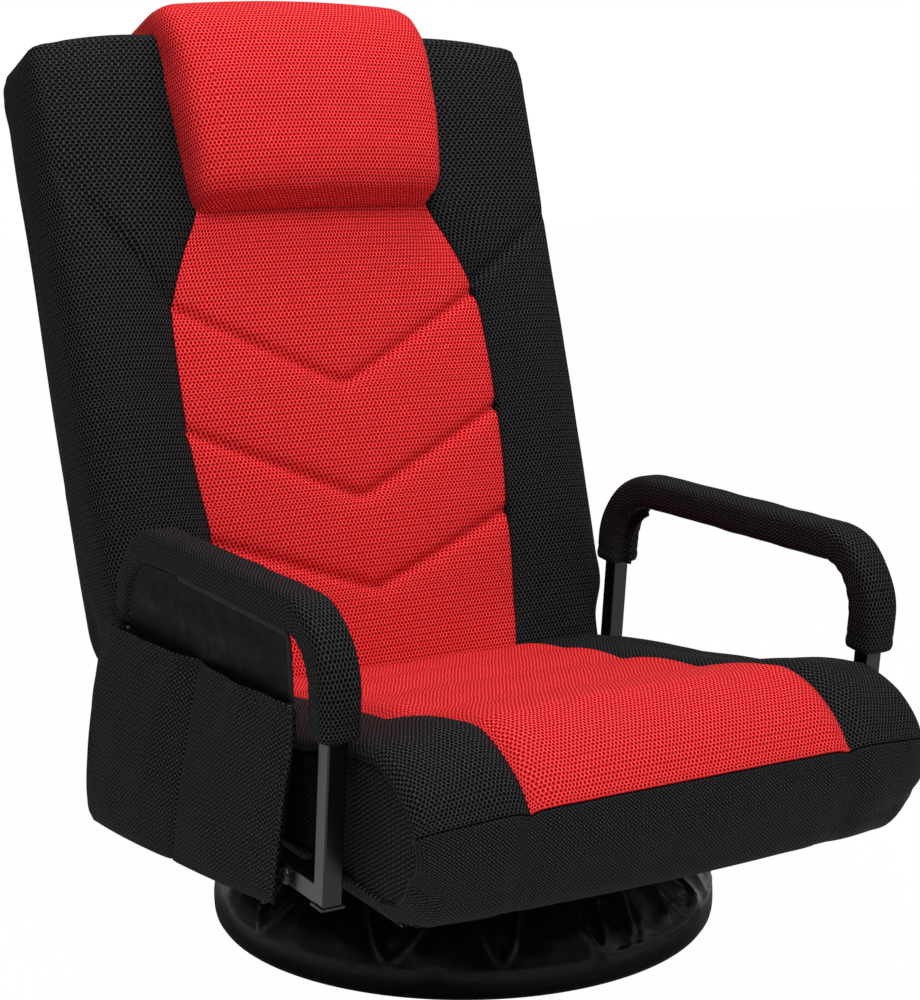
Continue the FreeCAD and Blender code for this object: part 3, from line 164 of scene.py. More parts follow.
def weld(mesh):
    """Joins points that share a place, and shades the mesh smooth."""
    shell = bmesh.new()
    shell.from_mesh(mesh)
    bmesh.ops.remove_doubles(shell, verts=shell.verts, dist=0.02 * MM)
    bmesh.ops.dissolve_degenerate(shell, edges=shell.edges, dist=0.01 * MM)
    shell.to_mesh(mesh)
    shell.free()
    mesh.shade_smooth()


def sewn(piece, body, slot, *nodes, cloth=None, wall=None, fill=None):
    """Finishes a piece: wall, cloth, the body that it moves with and the solids it stands for. Its stuffing,
    fill, is not used.
    """
    if wall:
        inwards = piece.modifiers.new("wall", "SOLIDIFY")
        inwards.thickness = wall * MM
        inwards.offset = -1
    piece.data.materials.append(cloth or FINISHES[slot])
    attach(piece, body)
    if nodes:
        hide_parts(*nodes)
    print(piece.name, len(piece.data.polygons), "faces")
    return piece


# %% Curves through points
def through(first, middle, last, count):
    """Parabola through three points, as count samples that leave out the last. It stands in for an arc."""
    t = (np.arange(count) / count)[:, None]
    first, middle, last = (np.asarray(p, float)[..., None, :] for p in (first, middle, last))
    return first * (1 - t) * (1 - 2 * t) + middle * 4 * t * (1 - t) + last * t * (2 * t - 1)


def outline(stretches, up):
    """A closed outline at each level, of parabolas: the first point, the one halfway and columns of each."""
    following = stretches[1:] + stretches[:1]
    return np.concatenate([
        through(*(together(*spot, up) for spot in (first, halfway, after[0])), count)
        for (first, halfway, count), after in zip(stretches, following)
    ], axis=1)


def table_at(places, table):
    """Reads a table whose first column is the place, by a cubic that keeps the slope through each row."""
    table = np.asarray(table, float)
    keys, values = table[:, 0], table[:, 1:]
    slopes = np.gradient(values, keys, axis=0)
    i = np.clip(np.searchsorted(keys, places) - 1, 0, len(keys) - 2)
    span = (keys[i + 1] - keys[i])[:, None]
    t = fraction(((places - keys[i]) / (keys[i + 1] - keys[i]))[:, None])
    rise = 3 * t**2 - 2 * t**3
    return (
        values[i] * (1 - rise) + values[i + 1] * rise
        + slopes[i] * span * (t**3 - 2 * t**2 + t) + slopes[i + 1] * span * (t**3 - t**2)
    )


def finer(grid, times, loop=False):
    """The same grid with more rows and columns, on the curves through its points."""
    def along(values, is_closed):
        spans = len(values) if is_closed else len(values) - 1
        if is_closed:
            values = np.concatenate([values[-1:], values, values[:2]])
        else:
            values = np.concatenate([2 * values[:1] - values[1:2], values, 2 * values[-1:] - values[-2:-1]])
        t = (np.arange(times) / times)[None, :, None, None]
        a, b, c, d = (values[k:k + spans][:, None] for k in range(4))
        between = 0.5 * (
            2 * b + (c - a) * t + (2 * a - 5 * b + 4 * c - d) * t**2 + (3 * b - a - 3 * c + d) * t**3
        )
        between = between.reshape(-1, *values.shape[1:])
        return between if is_closed else np.concatenate([between, values[-2:-1]])

    grid = along(grid, False)
    return along(grid.transpose(1, 0, 2), loop).transpose(1, 0, 2)


def outward(grid, loop=False):
    """Unit direction square to the skin at each grid point."""
    if loop:
        across = np.roll(grid, -1, 1) - np.roll(grid, 1, 1)
    else:
        across = np.gradient(grid, axis=1)
    return unit(np.cross(across, np.gradient(grid, axis=0)))


# %% [markdown]
# ## The camera
# The photograph was taken from the chair's right hand, from a little above the seat. The camera's
# place comes from matching known points of the chair to the picture, and its lens from their spacing.

# %% Camera
PHOTO_WIDE, PHOTO_HIGH = 920, 1000
# The lens and the middle of its view, in pixels of the photo.
FOCAL, MIDDLE_X, MIDDLE_Y = 2163.09, 465.28, 516.32
SENSOR = 36
YAW, PITCH = math.radians(30.32), math.radians(11.26)


def aim(name, data, place, target):
    """Puts a lamp or camera in place and points it at a target."""
    item = new_object(name, data)
    item.location = place
    away = np.asarray(place) - np.asarray(target)
    item.rotation_euler = (
        math.atan2(math.hypot(away[0], away[1]), away[2]), 0, math.atan2(away[1], away[0]) + math.pi / 2,
    )
    return item


lens = bpy.data.cameras.new("photo_lens")
lens.sensor_fit = "VERTICAL"
lens.sensor_height = SENSOR
lens.lens = SENSOR * FOCAL / PHOTO_HIGH
lens.shift_x = (PHOTO_WIDE / 2 - MIDDLE_X) / PHOTO_HIGH
lens.shift_y = (MIDDLE_Y - PHOTO_HIGH / 2) / PHOTO_HIGH
camera_place = np.array([-1.0316, -1.7677, 0.7991])
ahead = np.array([math.sin(YAW) * math.cos(PITCH), math.cos(YAW) * math.cos(PITCH), -math.sin(PITCH)])
scene.camera = aim("camera", lens, camera_place, camera_place + ahead)
print("camera looks down by", round(math.degrees(PITCH), 2), "degrees")

# %% [markdown]
# A shop picture is lit by big soft boxes, so that dark cloth still shows its knit. The floor and the
# backdrop are white and stay out of the light that falls on the chair.

# %% Light
scene.view_settings.view_transform = "Standard"
# Name, place, target, size in metres and watts.
SOFTBOXES = [
    ("key_box", (-0.8, -1.8, 2.9), (0, 0, 0.4), 1.3, 76),
    ("fill_box", (2.2, -1.8, 1.5), (0, 0, 0.35), 1.8, 13),
    ("top_box", (0.3, 0.3, 2.9), (0, 0, 0.3), 1.5, 39),
    ("left_box", (-2.6, -0.6, 1.0), (0, 0.1, 0.4), 0.9, 0.6),
]
for name, place, target, size, watts in SOFTBOXES:
    lamp = bpy.data.lights.new(name, "AREA")
    lamp.shape = "SQUARE"
    lamp.size = size
    lamp.energy = watts
    aim(name, lamp, place, target)


# %% A material is a set of nodes
def colour(hex_code):
    """Turns an sRGB hex code to the linear numbers that Blender works in."""
    values = np.array([int(hex_code[i:i + 2], 16) for i in (1, 3, 5)]) / 255
    linear = np.where(values <= 0.04045, values / 12.92, ((values + 0.055) / 1.055) ** 2.4)
    return (*linear.tolist(), 1.0)


class Nodes:
    """A node tree that is filled by short calls, most of which give back what the new node puts out."""

    def __init__(self, tree):
        self.tree = tree

    def put(self, value, socket):
        """Gives an input a number, a colour by its hex code, or another node's output."""
        if isinstance(value, str):
            socket.default_value = colour(value)
        elif isinstance(value, (int, float)):
            socket.default_value = value
        else:
            self.tree.links.new(value, socket)

    def add(self, kind, **settings):
        """Adds a node. The settings are its properties or, by name, its inputs."""
        node = self.tree.nodes.new(kind)
        for name, value in settings.items():
            if hasattr(node, name):
                setattr(node, name, value)
            else:
                self.put(value, node.inputs[name.replace("_", " ")])
        return node

    def number(self, operation, *values):
        """A Math node."""
        node = self.add("ShaderNodeMath", operation=operation)
        for value, socket in zip(values, node.inputs):
            self.put(value, socket)
        return node.outputs[0]

    def between(self, value, low, high, to_low, to_high):
        """Maps a value smoothly from one range to another."""
        return self.add(
            "ShaderNodeMapRange", interpolation_type="SMOOTHSTEP", Value=value,
            From_Min=low, From_Max=high, To_Min=to_low, To_Max=to_high,
        ).outputs["Result"]

    def mixed(self, share, first, second):
        """A colour between two others."""
        node = self.add("ShaderNodeMix", data_type="RGBA")
        for value, socket in ((first, 6), (second, 7), (share, 0)):
            self.put(value, node.inputs[socket])
        return node.outputs[2]

    def noise(self, place, scale, detail):
        """Soft noise between 0 and 1."""
        return self.add("ShaderNodeTexNoise", Vector=place, Scale=scale, Detail=detail).outputs["Fac"]

    def cloth_place(self):
        """The cloth's own map in millimetres, and its two parts."""
        flat_map = self.add("ShaderNodeUVMap", uv_map="cloth_mm").outputs[0]
        parts = self.add("ShaderNodeSeparateXYZ", Vector=flat_map)
        return flat_map, parts.outputs["X"], parts.outputs["Y"]


class Finish(Nodes):
    """A new material, with its shader and output joined."""

    def __init__(self, name):
        self.material = bpy.data.materials.new(name)
        self.material.use_nodes = True
        super().__init__(self.material.node_tree)
        self.tree.nodes.clear()
        self.shader = self.add("ShaderNodeBsdfPrincipled")
        self.output = self.add("ShaderNodeOutputMaterial", Surface=self.shader.outputs["BSDF"])

    def done(self, base, height, depth, **inputs):
        """Joins colour and relief to the shader, sets its other inputs and gives back the material."""
        self.put(base, self.shader.inputs["Base Color"])
        bump = self.add("ShaderNodeBump", Height=height, Distance=depth * MM, Strength=1.0)
        self.put(bump.outputs[0], self.shader.inputs["Normal"])
        for name, value in inputs.items():
            self.put(value, self.shader.inputs[name.replace("_", " ")])
        return self.material


# %% [markdown]
# ## Air mesh
# Air mesh is a warp-knitted polyester spacer cloth. Its face is a net of threads round staggered
# holes, and a shadow shows in each hole. One cell is 4.4 mm by 7.5 mm and holds two holes, so from
# the side the threads line up as fine ribs.

# %% Knitted air mesh in red and black
CELL_ACROSS, CELL_ALONG = 4.4, 7.5
# In shares of a cell: how much a hole is narrowed each way, and where its edge and the knots' painted highlight
# begin and end.
HOLE_SHAPE, HOLE_EDGE, KNOT_EDGE = (1.05, 1.60), (0.20, 0.39), (0.36, 0.52)
KNIT_RELIEF = 1.1


def air_mesh(name, thread, thread_highlight, hole):
    """Staggered holes from two shifted grids: distance to the nearest hole gives the colour and the relief."""
    knit = Finish(name)
    number = knit.number
    flat_map, x, y = knit.cloth_place()
    drift = knit.between(knit.noise(flat_map, 0.05, 1.0), 0.3, 0.7, -0.5, 0.5)
    across = number("DIVIDE", number("ADD", x, drift), CELL_ACROSS)
    along = number("DIVIDE", y, CELL_ALONG)

    def to_hole(shift):
        squares = []
        for place, narrowing in zip((across, along), HOLE_SHAPE):
            off = number("SUBTRACT", number("FRACT", number("ADD", place, shift)), 0.5)
            squares.append(number("POWER", number("MULTIPLY", off, narrowing), 2.0))
        return number("SQRT", number("ADD", *squares))

    nearest = number("MINIMUM", to_hole(0.0), to_hole(0.5))
    net = knit.between(nearest, *HOLE_EDGE, 0.0, 1.0)
    # The threads stand a little higher along each rib, and between the ribs the colour is drawn partway to the
    # hole's dark, a painted shade. The knots between the holes get a painted highlight: a lighter thread colour
    # of random strength.
    ribs = knit.between(number("COSINE", number("MULTIPLY", across, math.tau)), -1.0, 0.6, 0.0, 1.0)
    net = number("MULTIPLY", net, number("MULTIPLY_ADD", ribs, 0.3, 0.7))
    knot_highlight = knit.between(nearest, *KNOT_EDGE, 0.0, 1.0)
    highlight_strength = knit.between(knit.noise(flat_map, 0.42, 2.0), 0.35, 0.65, 0.55, 1.0)
    lit = knit.mixed(number("MULTIPLY", knot_highlight, highlight_strength), thread, thread_highlight)
    return knit.done(knit.mixed(net, hole, lit), net, KNIT_RELIEF, Roughness=0.7, Specular_IOR_Level=0.05)


# Each knit: thread colour, the painted highlight colour on its knots, and the hole colour, a painted shadow.
red_mesh = air_mesh("red_air_mesh", "#F0181F", "#FF5E60", "#84060B")
black_mesh = air_mesh("black_air_mesh", "#0E0E0F", "#454548", "#010101")
print("cell of the knit:", CELL_ACROSS, "by", CELL_ALONG, "mm")

# %% [markdown]
# ## Other cloths
# The pouch's lining is a tight plain-woven polyester, smooth and a little shiny. The cover round the
# base is calendered nylon taffeta: pressed flat between hot rollers, so it shines in every fold. The
# straps are woven polypropylene, and the cloth under the seat is spun-bonded, with no weave at all.

# %% Woven, calendered and bonded cloth
def woven(name, base, lit, pitch, depth, roughness, **inputs):
    """Plain weave: two sets of threads that cross, each a row of rounded bumps pitch millimetres apart."""
    cloth = Finish(name)
    number = cloth.number
    flat_map, x, y = cloth.cloth_place()
    warp, weft = (number("SINE", number("MULTIPLY", place, math.tau / pitch)) for place in (x, y))
    weave = number("MULTIPLY_ADD", number("MULTIPLY", warp, weft), 0.5, 0.5)
    fuzz = cloth.noise(flat_map, 0.09, 4.0)
    tone = number("ADD", number("MULTIPLY", weave, 0.5), number("MULTIPLY", fuzz, 0.5))
    rough = cloth.between(fuzz, 0.3, 0.7, roughness - 0.06, roughness + 0.06)
    return cloth.done(cloth.mixed(tone, base, lit), weave, depth, Roughness=rough, **inputs)


edge_tape = woven("folded_edge_tape", "#121213", "#232324", 1.4, 0.2, 0.7, Specular_IOR_Level=0.15)
# Each slot's finish: its two tones, thread pitch, relief in millimetres and roughness.
FINISHES = {
    "red_mesh": red_mesh, "black_mesh": black_mesh,
    "pouch_cloth": woven(
        "smooth_polyester_cloth", "#070708", "#101011", 1.6, 0.12, 0.6, Specular_IOR_Level=0.06),
    "skirt_nylon": woven(
        "calendered_nylon_taffeta", "#08090F", "#0E1018", 1.2, 0.02, 0.29, Specular_IOR_Level=0.18),
    "webbing": woven(
        "woven_polypropylene_strap", "#161617", "#2B2B2C", 2.4, 0.4, 0.7, Sheen_Weight=0.1),
}

# %% [markdown]
# ## Steel and plastic
# The arms and frame are cold-drawn steel tube under satin black powder coat, which is fused plastic
# and shows a faint orange peel. The bearing plates are zinc-plated and keep a dull spangle. Rolled
# edges and bolt heads lose some of their black with handling.

# %% Coated, plated and moulded finishes
def coated(name, base, worn, grain, depth, roughness, spread=0.05, **inputs):
    """A finish with fine relief and slow changes of tone, both from noise in the piece's own metres."""
    coat = Finish(name)
    place = coat.add("ShaderNodeTexCoord").outputs["Object"]
    fine = coat.noise(place, 1000 / grain, 2.0)
    slow = coat.noise(place, 14.0, 3.0)
    tone = coat.between(slow, 0.35, 0.75, 0.0, 1.0)
    rough = coat.between(slow, 0.3, 0.7, roughness - spread, roughness + spread)
    return coat.done(coat.mixed(tone, base, worn), fine, depth, Roughness=rough, **inputs)


# Here the third number is the size of the grain.
FINISHES |= {
    "black_steel": coated(
        "satin_black_powder_coat", "#060607", "#0B0B0C", 1.6, 0.05, 0.24, Specular_IOR_Level=0.36),
    "zinc_steel": coated("zinc_plated_steel", "#B9BBBB", "#9FA3A4", 3.0, 0.02, 0.38, Metallic=1.0),
    "black_bolt": coated("black_oxide_steel", "#1B1B1D", "#2C2C2E", 0.8, 0.02, 0.33, Metallic=0.6),
    "bearing_steel": coated(
        "ground_bearing_steel", "#C9CACC", "#BDBEC0", 0.6, 0.005, 0.12, 0.03, Metallic=1.0),
    "glide_plastic": coated("moulded_glide_plastic", "#141414", "#1C1C1C", 0.9, 0.05, 0.62),
    "cap_plastic": coated("moulded_polypropylene_cap", "#101010", "#171717", 0.9, 0.03, 0.5),
    "elastic": coated("braided_elastic", "#161616", "#222222", 1.2, 0.15, 0.75),
    "lining_cloth": coated("spun_bonded_lining", "#101010", "#1A1A1A", 1.3, 0.12, 0.85, Sheen_Weight=0.1),
}
for entry in frame["record"]["subparts"]:
    materials = frame["nodes"][entry["node"]].data.materials
    materials.clear()
    materials.append(FINISHES[entry["material_slot"]])
print("solids with a finish:", len(frame["nodes"]))

# %% [markdown]
# ## Where the chair's parts are
# The back turns on a hinge behind the seat and rests 18.9 degrees past upright. Its cushion is worked
# out standing straight, in its own frame, and then leaned back round that hinge.

# %% Main places, in millimetres
HINGE_Y, HINGE_Z = 186.4, 156.0
TILT = math.radians(18.9)
SEAT_HALF = 260.0
BACK_HALF_DEPTH = 50.0


def lean(x, rear, up):
    """From the back's own frame (right, rearwards, up the back) to the chair's."""
    y = HINGE_Y + rear * math.cos(TILT) + up * math.sin(TILT)
    z = HINGE_Z - rear * math.sin(TILT) + up * math.cos(TILT)
    return together(x, y, z)


# %% [markdown]
# ## Stuffing a cushion
# A cushion swells where nothing holds it and stays down where it is sewn. Blender's cloth does that
# well: the skin is blown up a little from inside while its seams are pinned, and the result is kept.
# The skin is as coarse as a hand's width of stuffing needs, and gets its fine points afterwards. Back and
# head cushion are made so, while the seat's fullness is part of its outline.

# %% Cloth simulation on a grid
CLOTH = {
    "quality": 4, "mass": 0.3, "tension_stiffness": 12, "compression_stiffness": 12, "bending_stiffness": 1.5,
    "vertex_group_mass": "seams", "use_pressure": True, "uniform_pressure_force": 3.0,
}
CLOTH_FRAMES = 16


def stuffed(name, grid, held, cap):
    """Blows a closed skin up with its seams held, and limits how far any point moves, in millimetres."""
    whole, fixed = closed(grid), closed(held)
    number_of = np.arange(fixed.size).reshape(fixed.shape)
    number_of[:, -1] = number_of[:, 0]
    mesh = bpy.data.meshes.new(name)
    mesh.from_pydata((whole.reshape(-1, 3) * MM).tolist(), [], corners_of(number_of).reshape(-1, 4).tolist())
    skin = new_object(name, mesh)
    pins = skin.vertex_groups.new(name="seams")
    pins.add(np.flatnonzero(fixed.ravel()).tolist(), 1.0, "REPLACE")
    cloth = skin.modifiers.new("cloth", "CLOTH")
    for setting, value in CLOTH.items():
        setattr(cloth.settings, setting, value)
    cloth.settings.effector_weights.gravity = 0
    cloth.collision_settings.use_collision = False
    cloth.point_cache.frame_end = CLOTH_FRAMES
    for at in range(1, CLOTH_FRAMES + 1):
        scene.frame_set(at)
    blown = skin.evaluated_get(bpy.context.evaluated_depsgraph_get())
    places = np.zeros(len(mesh.vertices) * 3, np.float32)
    blown.data.vertices.foreach_get("co", places)
    moved = places.reshape(whole.shape)[:, :grid.shape[1]] / MM - grid
    reach = np.linalg.norm(moved, axis=-1, keepdims=True)
    moved = moved * cap * np.tanh(reach / cap) / np.maximum(reach, 1e-9)
    bpy.data.objects.remove(skin)
    bpy.data.meshes.remove(mesh)
    scene.frame_set(1)
    print(name, "swelled by up to", round(float(np.linalg.norm(moved, axis=-1).max()), 1), "mm")
    return grid + moved


# %% [markdown]
# ## The back cushion
# The back is a slab of foam with fuller sides: a red centre between two black bolsters, a rounded
# edge, a plain cover behind, and a round lower end that turns in the seat's hollow. Each level is one
# closed outline, and its columns follow the seams, so red meets black exactly on the sewn line.

# %% Levels of the back
BACK_HEIGHT = 720.0
# Height and half width, front depth, rear depth, crown and half width of the red centre, in shares.
BACK_LEVELS = [
    (0.000, 1.020, 1.00, 1.00, 0.00, 0.588), (0.050, 1.022, 1.00, 1.00, 0.00, 0.592),
    (0.087, 1.033, 1.00, 1.05, 0.20, 0.612), (0.129, 1.080, 1.00, 1.20, 0.60, 0.630),
    (0.197, 1.090, 1.00, 1.32, 0.90, 0.655), (0.267, 1.096, 1.00, 1.36, 1.00, 0.670),
    (0.352, 1.102, 1.00, 1.37, 1.00, 0.692), (0.520, 1.110, 1.00, 1.34, 1.00, 0.700),
    (0.583, 1.110, 1.00, 1.33, 1.00, 0.690), (0.623, 1.110, 1.00, 1.32, 1.00, 0.660),
    (0.672, 1.110, 1.00, 1.31, 0.95, 0.605), (0.734, 1.112, 1.00, 1.30, 0.90, 0.523),
    (0.830, 1.118, 1.00, 1.28, 0.80, 0.515), (0.900, 1.118, 1.00, 1.24, 0.70, 0.508),
    (0.950, 1.117, 0.985, 1.21, 0.50, 0.500), (0.977, 1.104, 0.95, 1.12, 0.30, 0.490),
    (0.993, 1.068, 0.88, 0.97, 0.15, 0.480), (1.000, 0.995, 0.68, 0.72, 0.10, 0.470),
]
EDGE_ROUND, SEAM_DIP = 13.0, 4.0
# How far the bolsters, the centre, the sides and the rear stand out where the crown is full.
BOLSTER_CROWN, CENTRE_CROWN, SIDE_CROWN, REAR_CROWN = 9.0, 4.0, 1.5, 1.5
# Columns from one seam of the centre round to the other: bolster, corner, side, corner, half the rear.
PANEL_COLUMNS, BOLSTER_COLUMNS, CORNER_COLUMNS, SIDE_COLUMNS, REAR_COLUMNS = 40, 12, 4, 12, 24


def back_outline(up, half, front, rear, crown, panel):
    """One closed outline per level: parabolas between the seams, corners and sides of the cushion."""
    corner = np.minimum(EDGE_ROUND, (front + rear) * 0.42)
    slight = corner * 0.3
    # From the right seam of the centre to the middle of the rear: first point, the one halfway, columns.
    right = [
        ((panel, SEAM_DIP * np.minimum(1.0, crown * 2) - front),
         ((panel + half - corner) / 2, -front - BOLSTER_CROWN * crown), BOLSTER_COLUMNS),
        ((half - corner, -front), (half - slight, slight - front), CORNER_COLUMNS),
        ((half, corner - front), (half + SIDE_CROWN * crown, (rear - front) / 2), SIDE_COLUMNS),
        ((half, rear - corner), (half - slight, rear - slight), CORNER_COLUMNS),
        ((half - corner, rear), (half * 0.45, rear + 1.2 * crown), REAR_COLUMNS),
    ]
    rear_middle = (half * 0, rear + REAR_CROWN * crown)
    ends = [first for first, _, _ in right[1:]] + [rear_middle]
    left = [((-x, v), (-mid_x, mid_v), count) for (x, v), (_, (mid_x, mid_v), count) in zip(ends, right)]
    centre = ((-panel, right[0][0][1]), (panel * 0, -front - CENTRE_CROWN * crown), PANEL_COLUMNS)
    return outline([centre] + right + left[::-1], up)


# The lower end is round, and its levels come before those of the table.
end_turns = np.radians(np.linspace(84, 9, 9))
end_depth = BACK_HALF_DEPTH * np.cos(end_turns)
end_half = SEAT_HALF * 1.02 - EDGE_ROUND * 0.4 * (1 - np.cos(end_turns))
heights = BACK_HEIGHT * (1 - (1 - np.linspace(0, 1, 92)) ** 1.12)
half, front, rear, crown, panel = table_at(heights / BACK_HEIGHT, BACK_LEVELS).T
up = np.concatenate([-BACK_HALF_DEPTH * np.sin(end_turns), heights])
back_local = back_outline(
    up,
    np.concatenate([end_half, SEAT_HALF * half]),
    np.concatenate([end_depth, BACK_HALF_DEPTH * front]),
    np.concatenate([end_depth, BACK_HALF_DEPTH * rear]),
    np.concatenate([end_depth * 0, crown]),
    np.concatenate([end_depth * 0 + SEAT_HALF * 0.588, SEAT_HALF * panel]),
)
print("back skin:", back_local.shape[:2], "points")


# %% Seams, stuffing and stitch grooves of the back
END_RINGS = 5
# The V seams of the centre: height at its edge and at its point, in shares, and their run across.
CHEVRONS = [(0.265, 0.167), (0.421, 0.302), (0.604, 0.471)]
CHEVRON_RUN = 182.0
# Places across of a bolster's slanting seam, and how near to a seam a point of the skin is held.
SLANT_OUTER, SLANT_INNER = 265.0, 175.0
SEAM_REACH = 4.5
# Depth and width of a stitch groove and of the hollow round it, in millimetres.
ABOVE_V, BELOW_V, ON_SLANT = (5.9, 5.6, 1.8, 16.0), (5.2, 3.7, 2.5, 11.0), (5.2, 4.5, 2.2, 13.0)


def close_ends(grid, count=END_RINGS, inward=(0.55, 0.8)):
    """Adds rings at both ends that shrink to the end's middle line, so that the skin is closed."""
    steps = np.linspace(0, 1, count + 1)[1:, None, None]
    caps = []
    for end in (0, -1):
        ring = grid[end]
        across = ring[:, 0] * inward[end]
        height = np.polynomial.Polynomial.fit(ring[:, 0], ring[:, 2], 2)
        spine = together(across, ring[:, 1].mean(), height(across))
        caps.append(ring * (1 - steps) + spine * steps)
    return np.concatenate([caps[0][::-1], grid, caps[1]])


def chevron_distance(x, s, edge, point):
    """How far a point of the back is from a V that rises from its point to the centre's edge."""
    rise = (edge - point) * BACK_HEIGHT
    line = point * BACK_HEIGHT + (np.sqrt((np.abs(x) / CHEVRON_RUN) ** 2 + 0.0012) - 0.0346) * rise
    return (s - line) / math.hypot(1, rise / CHEVRON_RUN)


def bolster_distance(x, s):
    """How far a point is from the slanting seam of a bolster, which drops from its edge to the centre."""
    outer, inner = np.where(x < 0, 555.0, 501.0), np.where(x < 0, 430.0, 440.0)
    slope = (outer - inner) / (SLANT_OUTER - SLANT_INNER)
    return (s - outer - (np.abs(x) - SLANT_OUTER) * slope) / np.hypot(1, slope)


def pressed(far, sharp, sharp_width, soft, soft_width):
    """The section of a stitch line: a sharp groove in a soft hollow."""
    return sharp * bell(far, sharp_width) + soft * bell(far, soft_width)


column = np.arange(back_local.shape[1])
corner_column = BOLSTER_COLUMNS + CORNER_COLUMNS
on_bolster = (column <= PANEL_COLUMNS + BOLSTER_COLUMNS) | (column >= len(column) - BOLSTER_COLUMNS)
on_bolster &= column > PANEL_COLUMNS
x, s = back_local[..., 0], back_local[..., 2]
held = np.zeros(x.shape, bool)
held[:, [0, PANEL_COLUMNS, PANEL_COLUMNS + corner_column, -corner_column]] = True
held[up < 30] = True
held[-2:] = True
for edge, point in CHEVRONS:
    held |= (np.abs(chevron_distance(x, s, edge, point)) < SEAM_REACH) & (column <= PANEL_COLUMNS)
held |= (np.abs(bolster_distance(x, s)) < SEAM_REACH) & on_bolster
back_skin = stuffed("back_skin", back_local, held, 4.0)


def groove_back(skin, times):
    """Presses the sewn lines into the front: steep below each V, where the pad above rolls over the seam."""
    x, v, s = np.moveaxis(skin, -1, 0)
    centre = (np.arange(skin.shape[1]) <= times * PANEL_COLUMNS) & (s > 20)
    bolster = ~centre & (v < -20) & (s > 60)
    depth = np.zeros(x.shape)
    for edge, point in CHEVRONS:
        far = chevron_distance(x, s, edge, point)
        steep = np.where(far > 0, pressed(far, *ABOVE_V), pressed(far, *BELOW_V))
        pucker = 0.5 * np.sin((x * 0.9 + s * 0.45) * math.tau / 11) * bell(far + 7, 7.0)
        depth += centre * (steep * (1 + 0.10 * waves(x, s, 3, 14, 40)) + pucker)
    shallow = 0.3 + 0.7 * fraction((SEAT_HALF + 8 - np.abs(x)) / 30)
    depth += bolster * shallow * pressed(bolster_distance(x, s), *ON_SLANT)
    depth -= (v < 0) * 0.5 * waves(x, s, 11, 60, 160)
    return together(x, v + depth, s)


RED_START, RED_END = 8, int(np.searchsorted(up, 560.0))
MAP_ROW = 60


def back_piece(name, times, red):
    """One cloth of the back: a finer skin with its sewn lines pressed in, leaned back, its own faces kept."""
    skin = close_ends(groove_back(finer(back_skin, times, loop=True), times))
    # The top edge is highest at the middle and falls away to both corners.
    near_top = fraction(skin[..., 2] / BACK_HEIGHT - 0.86) / 0.14
    skin[..., 2] += near_top ** 1.5 * (4.0 - 10.0 * fraction(np.abs(skin[..., 0]) / SEAT_HALF) ** 5)
    world = lean(*np.moveaxis(skin, -1, 0))
    is_red = np.zeros((world.shape[0] - 1, world.shape[1]), bool)
    is_red[END_RINGS + times * RED_START:END_RINGS + times * RED_END, :times * PANEL_COLUMNS] = True
    cloth_map = fabric_map(world, True, row=END_RINGS + times * MAP_ROW, column=times * PANEL_COLUMNS // 2)
    return surface(name, world, True, is_red if red else ~is_red, cloth_map=cloth_map)


back_panel = back_piece("back_red_panel", 3, True)
back_cover = back_piece("back_black_cover", 2, False)
sewn(back_panel, "back", "red_mesh", "back_centre_panel", wall=5.0, fill=0.95)
sewn(back_cover, "back", "black_mesh", "back_cushion", "back_rear_cover", wall=5.0, fill=0.95)

# %% [markdown]
# ## The head cushion
# A thick pad is sewn over the top of the back: a crowned front, a straight strip for each side, and a
# lower edge that is stitched down. It is the same red knit all round.

# %% Head cushion
HEAD_LOW, HEAD_TOP, HEAD_HALF, HEAD_DEPTH, HEAD_REAR, HEAD_ROUND = 527.0, 755.0, 148.0, 56.0, 40.0, 27.0
# Height, half width, depth in front and reach behind, in shares of the sizes above.
HEAD_LEVELS = [
    (0.000, 0.915, 0.14, 1.00), (0.030, 0.932, 0.52, 1.00), (0.080, 0.950, 0.78, 1.00),
    (0.170, 0.962, 0.92, 1.00), (0.320, 0.975, 0.98, 1.00), (0.520, 0.990, 1.00, 1.00),
    (0.700, 1.000, 0.93, 1.00), (0.830, 0.997, 0.78, 1.00), (0.920, 0.978, 0.52, 0.94),
    (0.970, 0.945, 0.24, 0.70), (1.000, 0.870, -0.10, 0.10),
]
HEAD_ROWS, HEAD_FRONT_COLUMNS, HEAD_CORNER_COLUMNS, HEAD_SIDE_COLUMNS = 34, 34, 3, 12
# The rows stand closer together at both ends, where the cushion turns in.
shares = np.linspace(0, 1, HEAD_ROWS)
shares = 0.25 - 0.25 * np.cos(shares * math.pi) + 0.5 * shares
head_up = HEAD_LOW + (HEAD_TOP - HEAD_LOW) * shares
half, front, rear = table_at(shares, HEAD_LEVELS).T * np.array([[HEAD_HALF], [-HEAD_DEPTH], [HEAD_REAR]])
front = front - BACK_HALF_DEPTH
corner = np.minimum(HEAD_ROUND, (rear - front) * 0.42)
slant, shoulder, halfway = front + corner * 0.12, front + corner * 1.1, (front + rear) / 2
